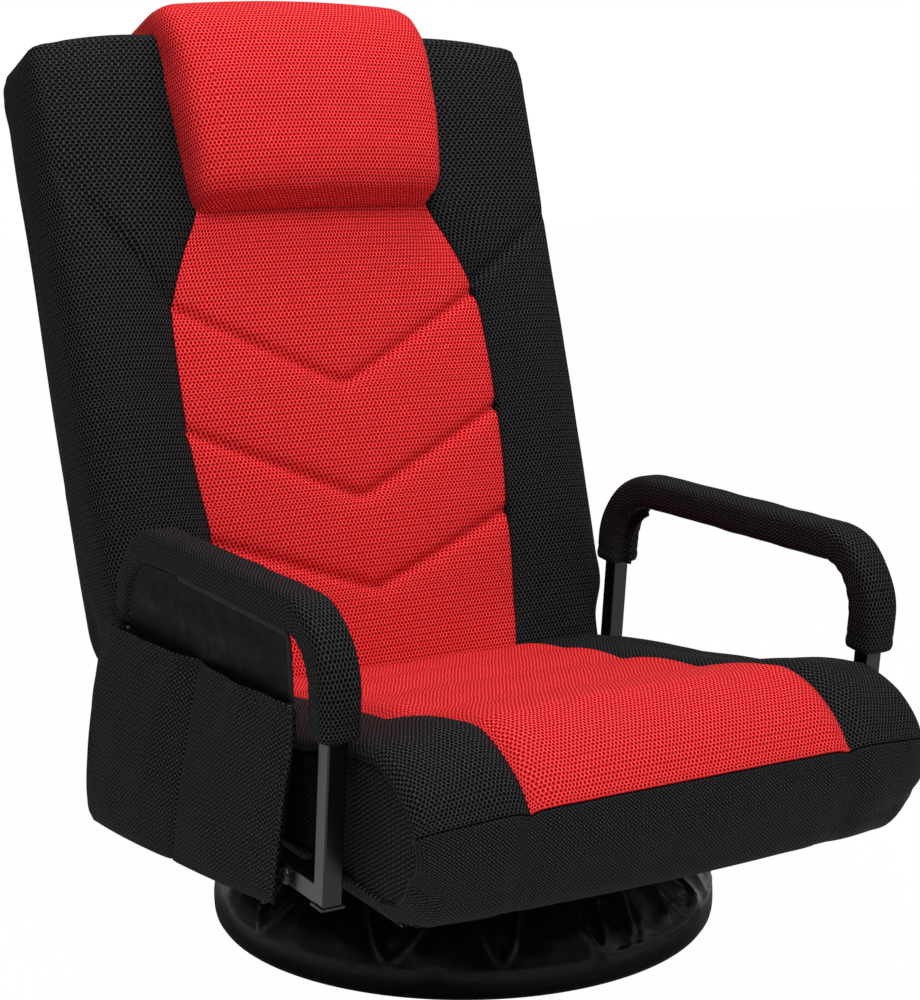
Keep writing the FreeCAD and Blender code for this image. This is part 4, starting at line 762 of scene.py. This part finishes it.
# Each stretch of the outline: its first point, the one halfway along and how many columns it gets.
stretches = [
    ((corner - half, slant), (half * 0, front - 8.0), HEAD_FRONT_COLUMNS),
    ((half - corner, slant), (half - corner * 0.26, front + corner * 0.40), HEAD_CORNER_COLUMNS),
    ((half, shoulder), (half + 1.5, halfway), HEAD_SIDE_COLUMNS),
    ((half, rear), (half * 0, rear + 2.0), HEAD_FRONT_COLUMNS),
    ((-half, rear), (-half - 1.5, halfway), HEAD_SIDE_COLUMNS),
    ((-half, shoulder), (corner * 0.26 - half, front + corner * 0.40), HEAD_CORNER_COLUMNS),
]
head_local = outline(stretches, head_up)
held = head_local[..., 1] > -46
held[[0, 1, -2, -1]] = True
held[:, [HEAD_FRONT_COLUMNS + HEAD_CORNER_COLUMNS, -HEAD_CORNER_COLUMNS]] = True
head_skin = finer(stuffed("head_skin", head_local, held, 5.0), 2, loop=True)
x, v, s = np.moveaxis(head_skin, -1, 0)
puff = 0.7 * waves(x + v, s, 5, 35, 110) * fraction((HEAD_TOP - 10 - s) / 12)
# The lower edge is stitched in.
pinch = 2.0 * bell(s - HEAD_LOW - 6, 4.0) * (1 + 0.4 * np.sin(x * math.tau / 19)) * (v < -52)
head_skin = head_skin + outward(head_skin, True) * (puff - pinch)[..., None]
head_skin[..., 0] -= 3.0 * fraction((s - 690) / 60)
head_world = lean(*np.moveaxis(close_ends(head_skin, 4, (0.88, 0.88)), -1, 0))
head_map = fabric_map(head_world, True, column=HEAD_FRONT_COLUMNS)
head_pad = surface("head_pad", head_world, True, cloth_map=head_map)
sewn(head_pad, "back", "red_mesh", "head_cushion", fill=0.9)

# %% [markdown]
# ## The seat cushion
# The seat is one thick pad. From the crease it rises in sewn channels to a high front roll, turns
# over, and ends at a seam above a black front band. A red centre lies between two black sides. Each
# column is that side outline at one place across the seat, and the outer columns shrink to round it.

# %% Side outline of the seat
SEAT_LOW, SEAT_SEAM, SEAT_CREST, CREASE_RISE = 135.0, 233.0, 286.5, 31.0
# How far forwards the outline's points are, from the crest down to the toe, and how high some of them are
# above the seam or the underside.
CREST_Y, NOSE_Y, SEAM_Y, BELLY_Y, CHIN_Y, JAW_Y, TOE_Y = 305.0, 354.0, 380.0, 384.0, 372.2, 355.6, 323.2
NOSE_UP, BELLY_UP, CHIN_UP, JAW_UP = 34.2, 66.6, 33.3, 8.8
PANEL_HALF = 164.0
# The seams between the channels, as shares of the way forwards and up from the crease to the crest.
SEAT_SEAMS = [(0.218, 0.228), (0.438, 0.369), (0.727, 0.629)]
FRAME_FRONT, FRAME_REAR, FRAME_SIDE, FRAME_CEILING = -340.0, 124.5, 243.0, 158.3
# Rows of the outline: three channels and the roll, over the nose, front band, toe, under, and round the hinge.
TOP_ROWS, NOSE_ROWS, BAND_ROWS, TOE_ROWS = (9, 8, 10, 14), 12, 8, 6
UNDER_ROWS, HINGE_ROWS = (1, 2, 14, 2, 1), 6
HINGE_GAP = 0.6


def seat_outline(x, drop, inset, puff, lift, hollow):
    """The seat's side outline at each column: channels, crest, nose, band, underside and hinge hollow."""
    def at(y, z):
        return together(x, y, z)

    reach = BACK_HALF_DEPTH + HINGE_GAP
    off = np.abs(x)
    low = SEAT_LOW + inset / 8 + 20.0 * fraction((off - FRAME_SIDE) / (SEAT_HALF - FRAME_SIDE)) ** 1.4
    foot_turn = math.pi + np.arcsin((HINGE_Z - low) / reach)
    lean_turn = math.pi - TILT

    def on_end(turn):
        return at(HINGE_Y + reach * np.cos(turn), HINGE_Z + reach * np.sin(turn))

    rise = CREASE_RISE - drop / 20 + lift
    lean_top = on_end(lean_turn)
    crease = lean_top + together(0, rise * math.sin(TILT), rise * math.cos(TILT))
    crest = at(-CREST_Y, SEAT_CREST - drop)
    spots = [crease + (crest - crease) * np.array([0, along, upward]) for along, upward in SEAT_SEAMS]
    spots = [crease] + spots + [crest]
    swells = [together(0, 0, 6.0 * puff + 0.3)] * len(SEAT_SEAMS) + [np.array([0, 0, 3.6])]
    parts = [
        through(a, (a + b) / 2 + swell, b, count)
        for a, b, swell, count in zip(spots, spots[1:], swells, TOP_ROWS)
    ]
    nose = at(inset / 2 - NOSE_Y, SEAT_SEAM + NOSE_UP - drop)
    # The groove beside the red panel ends at the front seam, and the band below runs on without it.
    inset = inset - 3.0 * fraction(1 - np.abs(off - PANEL_HALF) / 9)
    seam = at(inset - SEAM_Y, SEAT_SEAM - drop / 2)
    # Below, the front rises a little from the middle to both corners.
    tuck = 4.0 * np.minimum(off / FRAME_SIDE, 1) ** 1.5 + 17.0 * fraction((off - 236) / 24)
    belly = at(inset - BELLY_Y, SEAT_LOW + BELLY_UP)
    chin = at(inset - CHIN_Y, SEAT_LOW + CHIN_UP + inset / 2 + tuck * 0.7)
    jaw = at(inset - JAW_Y, SEAT_LOW + JAW_UP + tuck)
    toe = at(inset - TOE_Y, np.maximum(low, SEAT_LOW + tuck * 0.4))
    parts.append(through(crest, nose, seam, NOSE_ROWS))
    parts.append(through(seam, belly, chin, BAND_ROWS))
    parts.append(through(chin, jaw, toe, TOE_ROWS))
    # Underneath, a hollow takes in the frame, and the rear end follows the hinge.
    foot = on_end(foot_turn)
    inner = np.where(hollow, FRAME_CEILING, low)
    wall = np.maximum(FRAME_FRONT, toe[:, 1])
    stops = [toe, at(wall + 2, low), at(wall, inner), at(FRAME_REAR, inner), at(FRAME_REAR, low), foot]
    for a, b, count in zip(stops, stops[1:], UNDER_ROWS):
        parts.append(through(a, (a + b) / 2, b, count))
    parts.append(through(foot, on_end((foot_turn + lean_turn) / 2), lean_top, HINGE_ROWS))
    parts.append(through(lean_top, (lean_top + crease) / 2, crease, 3))
    parts.append(crease[:, None])
    return np.concatenate(parts, axis=1).transpose(1, 0, 2)


# Place across, drop of the top, draw at the front, channel puff and lift of the rear, in millimetres.
SEAT_COLUMNS = [
    (0.0, -4.2, -3.0, 1.0, 0.0), (114.0, -3.0, -1.8, 1.0, 0.0), (155.0, 0.0, 0.0, 0.8, 0.0),
    (164.0, 5.0, 3.0, 0.2, 0.0), (173.0, 0.0, 0.0, 0.2, 3.0), (224.0, 2.4, 1.2, 0.05, 5.0),
    (246.8, 6.5, 3.8, 0.05, 5.0), (256.4, 12.0, 8.0, 0.05, 3.0), (260.0, 17.0, 12.0, 0.05, 0.0),
]
half_places = np.concatenate([
    np.linspace(0, 150, 20), [155, 160, 164, 168, 173], np.linspace(180, 234, 9),
    [240, 243, 244.5, 247, 249.5, 252, 254.5, 257, 259, 260],
])
half_values = table_at(half_places, SEAT_COLUMNS)
places = np.concatenate([-half_places[:0:-1], half_places])
values = np.concatenate([half_values[:0:-1], half_values])
seat_grid = seat_outline(places, *values.T, hollow=np.abs(places) < FRAME_SIDE + 0.005)
print("seat skin:", seat_grid.shape[:2], "points")


# %% Seams and the three cloths of the seat
seam_rows = np.cumsum((0,) + TOP_ROWS)
crest_row = seam_rows[-1]
nose_end = crest_row + NOSE_ROWS
band_end = nose_end + BAND_ROWS
toe_end = band_end + TOE_ROWS
seat_skin = finer(seat_grid, 2)
x, y, z = np.moveaxis(seat_skin, -1, 0)
row = np.arange(len(seat_skin))[:, None] / 2
across_panel = fraction((PANEL_HALF - np.abs(x)) / 12)
free = (row > 1) & (row < band_end)
sink = 3.0 * np.exp(-np.abs(row - nose_end) / 0.45) - free * 0.8 * waves(x, y + z, 21, 60, 170)
for line in seam_rows[1:-1]:
    stitches = 1 + 0.25 * waves(x, 0, int(line), 18, 45)
    sink += across_panel * 2.4 * np.exp(-np.abs(row - line) / 0.6) * stitches
seat_skin = seat_skin - outward(seat_skin) * sink[..., None]
seat_skin[..., 0] *= 1 - 0.010 * fraction((-seat_skin[..., 1] - 120) / 180)
column_middle = (seat_skin[0, :-1, 0] + seat_skin[0, 1:, 0]) / 2
row_middle = row[:-1] + 0.25
is_red = (np.abs(column_middle) < PANEL_HALF) & (row_middle < nose_end)
is_band = np.broadcast_to((row_middle > nose_end) & (row_middle < toe_end), is_red.shape)
seat_map = fabric_map(seat_skin, row=2 * crest_row, column=seat_skin.shape[1] // 2) * 1.15
seat_panel = surface("seat_red_panel", seat_skin, keep=is_red, cloth_map=seat_map)
seat_cover = surface("seat_black_cover", seat_skin, keep=~is_red & ~is_band, cloth_map=seat_map)
# The band is cut separately, and stretched less along the knit than the rest.
seat_band = surface("seat_front_band", seat_skin, keep=is_band, cloth_map=seat_map * np.array([1.0, 1.8]))
sewn(seat_panel, "seat", "red_mesh", "seat_centre_panel", wall=5.0, fill=0.95)
sewn(seat_band, "seat", "black_mesh", wall=3.0, fill=0.95)
sewn(seat_cover, "seat", "black_mesh", "seat_cushion", wall=3.0, fill=0.95)


# %% Side pieces of the seat
SEAT_ENDS = ((0, -1, "left"), (-1, 1, "right"))
SIDE_POINTS, SIDE_ROWS = 110, 22


def side_piece(ring, sign, name):
    """A flat side sewn to the outline: lines run from its upper half to its lower half and belly outwards."""
    turn_row = 2 * (nose_end + BAND_ROWS // 2)
    upper = evenly(ring[:turn_row + 1], SIDE_POINTS)
    lower = evenly(ring[:turn_row - 1:-1], SIDE_POINTS)
    t = np.linspace(0, 1, SIDE_ROWS)[:, None, None]
    grid = upper * (1 - t) + lower * t
    tight = fraction(np.linalg.norm(upper - lower, axis=-1) / 90)
    belly = np.sin(t[..., 0] * math.pi) ** 0.6 * tight
    grid[..., 0] += sign * belly * (1.0 + 0.6 * waves(grid[..., 1], grid[..., 2], 61, 50, 140))
    piece = surface(name, grid, flip=sign < 0, cloth_map=grid[..., [2, 1]])
    sewn(piece, "seat", "black_mesh", wall=3.0, fill=0.9)


for end, side, label in SEAT_ENDS:
    side_piece(seat_skin[:, end], side, "seat_side_" + label)

# %% [markdown]
# ## Arm sleeves
# Each arm is a bent loop of square tube, and a tube of foam and air mesh is pushed over its top. The
# sleeve is a rounded square carried along the arm's bent line. It bunches a little inside each bend
# and is turned in and stitched at its two ends.

# %% Sleeve: a rounded square along a bent path
ARM_X, ARM_TOP, ARM_FRONT, ARM_REAR = 279.0, 378.0, 257.0, 159.0
ARM_LEAN, FRAME_MIDDLE = math.tan(math.radians(5.7)), 147.0
SLEEVE_POINTS, SLEEVE_STEP = 40, 3.0
# Half width and depth of the sleeve and of its inside, which fits the tube.
SLEEVE_WIDE, SLEEVE_DEEP, SLEEVE_INSIDE = 19.0, 17.2, 9.3


def bent_path(corners, radii, step):
    """Points about one step apart along straight runs joined by arcs, and the way walked to each."""
    points = [corners[0]]
    for before, corner, after, radius in zip(corners, corners[1:], corners[2:], radii):
        into, out = unit(corner - before), unit(after - corner)
        turn = math.acos(float(into @ out))
        centre = corner + unit(out - into) * radius / math.cos(turn / 2)
        first = corner - into * radius * math.tan(turn / 2) - centre
        side = unit(np.cross(np.cross(into, out), first)) * radius
        angles = np.linspace(0, turn, max(int(radius * turn / step), 4) + 1)[:, None]
        points.extend(centre + first * np.cos(angles) + side * np.sin(angles))
    points = np.array(points + [corners[-1]])
    whole = lengths(points[None], 1)[0, -1]
    count = int(whole / step) + 1
    return evenly(points, count), np.linspace(0, whole, count)


def arm_corner(y, z):
    """A point on the leaning line of an arm post."""
    return np.array([0.0, y - ARM_LEAN * (z - FRAME_MIDDLE), z])


arm_corners = [
    arm_corner(-ARM_FRONT, 286.0), arm_corner(-ARM_FRONT, ARM_TOP), arm_corner(ARM_REAR, ARM_TOP),
    arm_corner(ARM_REAR, 293.0),
]
sleeve_line, sleeve_walk = bent_path(arm_corners, [56.0, 74.0], SLEEVE_STEP)
along = unit(np.gradient(sleeve_line, axis=0))
away = np.cross(along, [1.0, 0, 0])
print("sleeve is", round(float(sleeve_walk[-1])), "mm long")


def rounded_square(count, half_wide, half_deep, power):
    """Superellipse: cosine and sine raised to a power below one, which squares a circle."""
    turn = circle(count) + math.pi / 2
    c, s = np.cos(turn), np.sin(turn)
    return np.sign(c) * np.abs(c) ** power * half_wide, np.sign(s) * np.abs(s) ** power * half_deep


def sleeve_grid(side):
    """The sleeve's skin: the rounded square, puffed between its ends, bunched inside its bends."""
    wide, deep = rounded_square(SLEEVE_POINTS, SLEEVE_WIDE, SLEEVE_DEEP, 0.50)
    end = np.minimum(sleeve_walk, sleeve_walk[-1] - sleeve_walk)
    hem = 1 - 0.05 * bell(end, 2.5) - 0.03 * bell(end - 11, 1.8) + 0.02 * bell(end - 5, 4.0)
    turning = np.linalg.norm(np.gradient(along, axis=0), axis=1)
    inside = fraction(deep / 17.0) * (turning / turning.max())[:, None]
    bunch = 0.35 * inside * np.sin(sleeve_walk * math.tau / 17)[:, None]
    bumps = 0.5 * waves(sleeve_walk[:, None], np.arange(SLEEVE_POINTS) * 3.2, 7 + side, 35, 90)
    scale = hem[:, None] + (bumps + bunch) / 18
    place = sleeve_line[:, None] + away[:, None] * (deep * scale)[..., None]
    return together(side * ARM_X + wide * scale, place[..., 1], place[..., 2])


ARM_SIDES = ((1, "right"), (-1, "left"))
for side, label in ARM_SIDES:
    skin = sleeve_grid(side)
    wide, deep = rounded_square(SLEEVE_POINTS, SLEEVE_INSIDE, SLEEVE_INSIDE, 0.35)
    inner = sleeve_line[:, None] + away[:, None] * deep[:, None]
    inner[..., 0] = side * ARM_X + wide
    # Each end is folded in, a little beyond where the skin stops.
    lips = []
    for end, beyond in ((0, -1.5), (-1, 1.5)):
        lip = np.stack([skin[end] * (1 - t) + inner[end] * t for t in (0.3, 0.7, 1.0)])
        lips.append(lip + along[end] * (beyond * np.array([1, 1, 0]))[:, None, None])
    whole = np.concatenate([inner[2:5][::-1], lips[0][::-1], skin, lips[1], inner[-5:-2][::-1]])
    sleeve_map = fabric_map(whole, True, column=10) * 1.2
    sleeve = surface(f"arm_sleeve_{label}_cover", whole, True, cloth_map=sleeve_map)
    sewn(sleeve, "seat", "black_mesh", "arm_sleeve_" + label, fill=0.85)

# %% [markdown]
# ## The side pouch
# One smooth cloth hangs from the arm's sleeve, and a pocket cloth of air mesh is sewn to it down the
# front, down the middle and along the foot. The middle seam makes two pockets. They stand open behind,
# where the cloth is fullest, and tapes bind the free edges.

# %% Places of the pouch
POUCH_WALL, POUCH_LOW, POUCH_MOUTH, POUCH_SWELL, POUCH_CEILING = -294.2, 100.0, 289.0, 44.0, 365.0
FOOT_RISE = 16.0
# Height, then how far the cloth stands out at the rear, rear pocket, middle seam, front pocket and front.
POUCH_LEVELS = [
    (0.00, 0.87, 0.79, 0.57, 0.38, 0.11), (0.05, 0.94, 0.85, 0.59, 0.42, 0.12),
    (0.12, 0.96, 0.86, 0.60, 0.44, 0.13), (0.35, 0.88, 0.81, 0.52, 0.42, 0.13),
    (0.65, 0.65, 0.62, 0.34, 0.36, 0.13), (1.00, 0.30, 0.36, 0.15, 0.29, 0.13),
]
POCKET_ROWS, FRONT_COLUMNS, BACK_COLUMNS = 64, 42, 48


def pouch_ends(share):
    """Where the pouch's front and rear edges stand at a share of its height."""
    return -(187.0 + 52.0 * share), 147.0 + 19.0 * share


def pouch_place(share, y_share, out):
    """Point of the pouch: share up its height, y_share from front to rear, out from its wall."""
    front, rear = pouch_ends(share)
    front = front + 16.0 * fraction(1 - share / 0.08) ** 2
    rear = rear - 3.0 * fraction(1 - share / 0.05)
    z = POUCH_LOW + (POUCH_MOUTH - POUCH_LOW) * share + (FOOT_RISE - share) * (1 - y_share)
    return together(POUCH_WALL - out, front + (rear - front) * y_share, z)


# %% Pocket cloth
share = np.linspace(0, 1, POCKET_ROWS)[:, None]
stands_out = table_at(share[:, 0], POUCH_LEVELS) * POUCH_SWELL
at_rear, rear_pocket, at_seam, front_pocket, at_front = stands_out.T[..., None]
front, rear = pouch_ends(share)
seam_at = (-(24.0 + 21.0 * share) - front) / (rear - front)
front_shares, rear_shares = (np.arange(count) / count for count in (FRONT_COLUMNS, BACK_COLUMNS))
y_shares = np.concatenate([seam_at * front_shares, seam_at + (1 - seam_at) * rear_shares], 1)
pocket_out = np.concatenate([
    through(at_front, front_pocket, at_seam, FRONT_COLUMNS)[..., 0],
    through(at_seam, rear_pocket, at_rear, BACK_COLUMNS)[..., 0],
], 1)
far_y = (y_shares - seam_at) * 360
height = share * 190
pocket_out = pocket_out - pressed(far_y, 1.5, 3.0, 0.8, 12)
pocket_out = pocket_out + 1.3 * waves(far_y, height, 31, 60, 150) * fraction(share * 4)
# The cloth hangs from the seam's top, so soft drapes run down from the mouth and lean to the seam.
pocket_out = pocket_out + 1.1 * np.sin((far_y + 0.25 * height) * math.tau / 62) * share ** 2
pocket_out = np.maximum(pocket_out, 3.6)
# Behind, the cloth turns round a soft edge back to the wall.
edge_column = FRONT_COLUMNS + BACK_COLUMNS
turning_in = at_rear * np.linspace(0.9, 0.0, 5) + 2.9 * np.linspace(0.1, 1, 5)
pocket_out = np.concatenate([pocket_out, at_rear, turning_in], 1)
pocket = pouch_place(share, np.concatenate([y_shares, np.ones((POCKET_ROWS, 6))], 1), pocket_out)
pocket[:, edge_column + 1:, 1] += [1.5, 2.5, 2.5, 1.5, 0.0]
pocket[:, edge_column, 1] -= 1.5
# The foot is drawn in to the wall.
foot = together(POUCH_WALL - 3.0, pocket[:1, :, 1], pocket[:1, :, 2])
steps = np.array([0.0, 0.25, 0.5, 0.75, 0.92])[:, None, None]
under = foot * (1 - steps) + pocket[:1] * steps
under[..., 2] += np.array([1.5, 0.5, 0.0, 0.0, 0.3])[:, None]
pocket = np.concatenate([under, pocket])
# The pocket is cut across the cloth and pulled down, so its cells lie on their sides.
pocket_map = fabric_map(pocket)[..., ::-1] * np.array([0.9, 1.14])
pocket_cloth = surface("pouch_pocket_cloth", pocket, flip=True, cloth_map=pocket_map)
sewn(pocket_cloth, "seat", "pouch_cloth", "side_pouch", cloth=black_mesh, wall=1.8)

# %% Hung cloth
HUNG_FRONT, HUNG_REAR, SLEEVE_REACH = 296.5, 285.0, 18.3
z = np.concatenate([np.linspace(POUCH_CEILING, 290, 34), np.linspace(284, 101, 24)])[:, None]
share = fraction((z - POUCH_LOW) / (POUCH_MOUTH - POUCH_LOW))


def hung_edge(points, radius, below):
    """Where an edge of the hung cloth stands at each height: the pocket's, a run, a round corner, the top."""
    path, _ = bent_path([np.array([0.0, y, height]) for y, height in points], [radius], 1.0)
    return np.where(z > points[0][1], np.interp(z, path[:, 2], path[:, 1]), below)


rear_low, rear_top = (arm_corner(ARM_REAR, up)[1] - SLEEVE_REACH for up in (HUNG_REAR, POUCH_CEILING))
front, rear = pouch_ends(share)
front = hung_edge([(-231.0, HUNG_FRONT), (-227.0, POUCH_CEILING), (0.0, POUCH_CEILING)], 14.0, front)
rear = hung_edge([(rear_low, HUNG_REAR), (rear_top, POUCH_CEILING), (-60.0, POUCH_CEILING)], 63.0, rear)
t = np.linspace(0, 1, 72)
y = front + (rear - front) * t
foot_rise = np.where(z < 290, (1 - t) * (FOOT_RISE - share), 0)
ridge = 2.04 * bell(z - 334 - 10 * (0.5 - t), 12) * fraction(4 * t) * fraction(6 * (1 - t))
out = 1.3 + ridge + 0.35 * waves(y, z, 41, 25, 70) * fraction((z - 292) / 20)
hung = together(POUCH_WALL - out, y, z + foot_rise)
hung_cloth = surface("pouch_hung_cloth", hung)
sewn(hung_cloth, "seat", "pouch_cloth", wall=1.2)


# %% Tapes, welts and strips
def tape(name, line, side, wide, thick, slot="black_mesh", cloth=None):
    """A folded tape over an edge: a flat loop carried along the edge's points, with small puckers."""
    ahead_way = unit(np.gradient(line, axis=0))
    side_ways = side * np.array([1.0, 0, 0])
    out_way = unit(side_ways - ahead_way * (ahead_way @ side_ways)[:, None])
    across_way = np.cross(ahead_way, out_way)
    a, b = rounded_square(16, wide / 2, thick / 2, 0.55)
    pucker = 1 + 0.02 * np.sin(lengths(line[None], 1)[0] * math.tau / 6.5)
    ring = across_way[:, None] * a[:, None] + out_way[:, None] * b[:, None]
    grid = line[:, None] + ring * pucker[:, None, None]
    return sewn(surface(name, capped(grid), True), "seat", slot, cloth=cloth)


front_line = np.stack([np.full(34, POUCH_WALL - 1.4), hung[:34, 0, 1] + 1.5, hung[:34, 0, 2]], -1)[::-1]
# Each binding tape's name and line, then its width and thickness, and its cloth where that isn't mesh.
POUCH_TAPES = [
    ("pouch_mouth_tape", pocket[-1, :edge_column + 1] + np.array([0.9, 0, 0]), 6.2, 2.6),
    ("pouch_front_tape", front_line, 6.0, 2.8, "pouch_cloth", edge_tape),
    ("pouch_pocket_front_tape", pocket[5:, 0] + np.array([1.0, 0.5, 0]), 6.2, 2.6),
]
bindings = [(tape(name, line, -1, *cut), line) for name, line, *cut in POUCH_TAPES]
# The seat's side pieces are sewn on with a narrow welt round the front corners.
for end, side, label in SEAT_ENDS:
    welt_line = seat_skin[2 * crest_row - 16:2 * toe_end - 4, end] + np.array([side * 0.6, 0, 0])
    tape(f"seat_side_{label}_welt", welt_line, side, 3.4, 3.0, "black_mesh", edge_tape)
# The sleeves close with a strip that stands out inside the loop along both posts.
for side, label in ARM_SIDES:
    for place, part in (("front", slice(0, 34)), ("rear", slice(-34, None))):
        strip_line = sleeve_line[part] + away[part] * 19.5 + np.array([side * ARM_X, 0, 0])
        tape(f"arm_sleeve_{label}_{place}_strip", strip_line, side, 13.0, 4.0)
for piece, line in bindings:
    long = float(lengths(line[None], 1)[0, -1]) * MM

# %% [markdown]
# ## The cover round the base
# A tube of shiny nylon is stretched smooth over the floor ring and gathered under the seat by an
# elastic. Gathering leaves sharp ridges with wide soft valleys between them, and no two are alike, so
# the folds are sums of bent waves whose crests were made sharp.

# %% Nylon cover with its folds
# Height above the floor, radius and share of the folds' depth.
SKIRT_LEVELS = [
    (1.0, 243.2, 0.0), (6.9, 246.4, 0.0), (13.5, 247.2, 0.0), (24.5, 247.0, 0.12), (35.0, 244.5, 0.5),
    (45.0, 239.0, 0.8), (60.0, 226.0, 1.0), (80.0, 203.0, 1.0), (100.0, 167.0, 0.95), (122.0, 130.0, 0.6),
]
# Where the elastic pinches the cloth: the direction of each low point, and how far its two ridges spread.
PINCHES = [
    (-136, 11), (-112, 7), (-90, 6), (-81, 4), (-59, 8), (-30, 7),
    (2, 9), (38, 7), (75, 10), (110, 8), (150, 9), (-170, 8),
]
turn = circle(480)
rise = np.concatenate([np.linspace(1, 24, 12), np.linspace(27, 122, 42)])[:, None]
radius, fold_share = table_at(rise[:, 0], SKIRT_LEVELS).T[..., None]
draw = np.random.default_rng(8)
folds = 0.8 * waves(turn * 240, rise * 2.2 + turn * 60, 17, 24, 80, 30)
for waves_round, size in ((11, 2.8), (19, 2.2), (31, 1.2)):
    shift, slant, bend = draw.uniform(0, math.tau), draw.uniform(-0.012, 0.012), draw.uniform(0.2, 0.9)
    phase = waves_round * turn / 2 + shift + slant * rise * waves_round / 9 + bend * np.sin(3 * turn + shift)
    folds += size * (1.0 - 2.0 * np.abs(np.sin(phase)) ** 0.8)
folds *= fold_share * (0.22 + 1.2 * (0.5 + 0.5 * np.cos(turn + math.radians(55))))
ridges = np.zeros(folds.shape)
for middle, spread in np.radians(PINCHES):
    far_turn = (turn - middle + math.pi) % math.tau - math.pi
    for sign in (-1, 1):
        beside = (far_turn - sign * spread * (rise - 28) / 60) * 215
        ridges += pressed(beside, 9.0, 3.4, -3.0, 11.0) * fraction((rise - 27) / 14)
round_radius = radius + folds + np.minimum(fold_share * 1.6, 1) * ridges * 0.8
# No fold goes inside the floor ring.
round_radius = np.maximum(round_radius, np.where(rise < 30, np.where(rise > 5, 246.0, 242.5), 0))
droop = fold_share * 2.0 * waves(turn * 200, rise, 19, 40, 120) * (rise > 30) * (rise < 118)
skirt = together(round_radius * np.cos(turn), round_radius * np.sin(turn), rise + droop)
skirt_cover = surface("base_gathered_cover", skirt, True)
sewn(skirt_cover, "base", "skirt_nylon", "base_skirt", wall=0.8)

turn = circle(288)
band_radius = 120.0 + 0.5 * np.sin(turn * 72)
band = together(band_radius * np.cos(turn), band_radius * np.sin(turn), np.linspace(116, 122, 5)[:, None])
elastic = surface("skirt_gathering_elastic", band, True)
sewn(elastic, "base", "elastic", "skirt_elastic", wall=1.4)

# %% [markdown]
# ## Straps and the cloth underneath
# Polypropylene straps carry the foam, pulled tight from side to side, and one lies over the tubes at
# each end. A thin bonded cloth closes the seat below, with a round hole for the bearing.

# %% Straps of seat and back, and the lining
STRAP_WIDE, STRAP_THICK = 45.0, 2.0


def strap(name, centre, half_long, wide_way, up_way, body, sag):
    """A flat strap that sags a little between its ends, with two raised edges as a woven one has."""
    x = np.linspace(-half_long, half_long, 40)[:, None]
    a, b = rounded_square(24, STRAP_WIDE / 2, STRAP_THICK / 2, 0.4)
    edge = 1 + 0.12 * bell(np.abs(a) - STRAP_WIDE / 2 + 3, 2.0)
    drop = -sag * (1 - (x / half_long) ** 2) * 0.5
    grid = (
        np.asarray(centre) + x[..., None] * np.array([1.0, 0, 0]) + a[:, None] * np.asarray(wide_way)
        + (b * edge + drop)[..., None] * np.asarray(up_way)
    )
    piece = surface(name, capped(grid), True, flip=True)
    sewn(piece, body, "webbing")
    return piece


seat_straps = [
    strap(f"seat_strap_{i + 1}", (0, y, 157.0), 240.5, (0, 1, 0), (0, 0, 1), "seat", 1.2)
    for i, y in enumerate(np.linspace(-288.5, 73.0, 7))
]
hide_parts("seat_webbing")
back_up, back_rear = (lean(0.0, *way) - lean(0.0, 0.0, 0.0) for way in ((0.0, 1.0), (1.0, 0.0)))
back_straps = [
    strap(f"back_strap_{i + 1}", lean(0.0, -11.0, s), 231.5, back_up, back_rear, "back", -1.0)
    for i, s in enumerate(np.linspace(86.0, 585.5, 9))
]
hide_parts("back_webbing")

# The lining runs from a round hole out to a square edge with tight corners.
HOLE_RADIUS = 112
turn = circle(160)
t = np.linspace(0, 1, 26)[:, None]
corner_x, corner_y = np.cos(turn), np.sin(turn)
reach = 1 / np.maximum(np.abs(corner_x), np.abs(corner_y)) ** 0.93
x = corner_x * HOLE_RADIUS * (1 - t) + np.clip(corner_x * reach * 246, -241, 241) * t
y = corner_y * HOLE_RADIUS * (1 - t) + np.clip(-108.0 + corner_y * reach * 235, -338, 122.5) * t
z = 137.4 - 0.35 * (1 + waves(x, y, 51, 50, 140)) * np.sin(t * math.pi)
lining = surface("seat_bonded_lining", together(x, y, z), True)
sewn(lining, "seat", "lining_cloth", "seat_underside_cloth", wall=0.6)

# %% [markdown]
# ## The floor
# The floor is a wide white plane. To the camera it shows mostly its own white, so the picture's ground
# stays pale, and it still takes the chair's shadow.

# %% Floor and backdrop
FLOOR_REACH = 9
CAMERA_WHITE, SKY_STRENGTH = 0.985, 0.21
floor_corners = [(x * FLOOR_REACH, y * FLOOR_REACH, 0) for x, y in ((-1, -1), (1, -1), (1, 1), (-1, 1))]
floor_mesh = bpy.data.meshes.new("studio_floor")
floor_mesh.from_pydata(floor_corners, [], [(0, 1, 2, 3)])
floor = new_object("studio_floor", floor_mesh)
paper = Finish("white_paper_floor")
paper.put("#F0F0F0", paper.shader.inputs["Base Color"])
paper.put(0.9, paper.shader.inputs["Roughness"])
glow = paper.add("ShaderNodeEmission", Color="#FFFFFF", Strength=1.0)
rays = paper.add("ShaderNodeLightPath")
seen = paper.number("MULTIPLY", rays.outputs["Is Camera Ray"], CAMERA_WHITE)
both = paper.add("ShaderNodeMixShader")
for value, socket in zip((seen, paper.shader.outputs[0], glow.outputs[0]), both.inputs):
    paper.put(value, socket)
paper.put(both.outputs[0], paper.output.inputs["Surface"])
floor.data.materials.append(paper.material)

world = bpy.data.worlds.new("studio")
scene.world = world
world.use_nodes = True
sky = Nodes(world.node_tree)
background = sky.tree.nodes["Background"]
rays = sky.add("ShaderNodeLightPath")
sky.put(sky.number("MAXIMUM", rays.outputs["Is Camera Ray"], SKY_STRENGTH), background.inputs["Strength"])
sky.put("#FFFFFF", background.inputs["Color"])
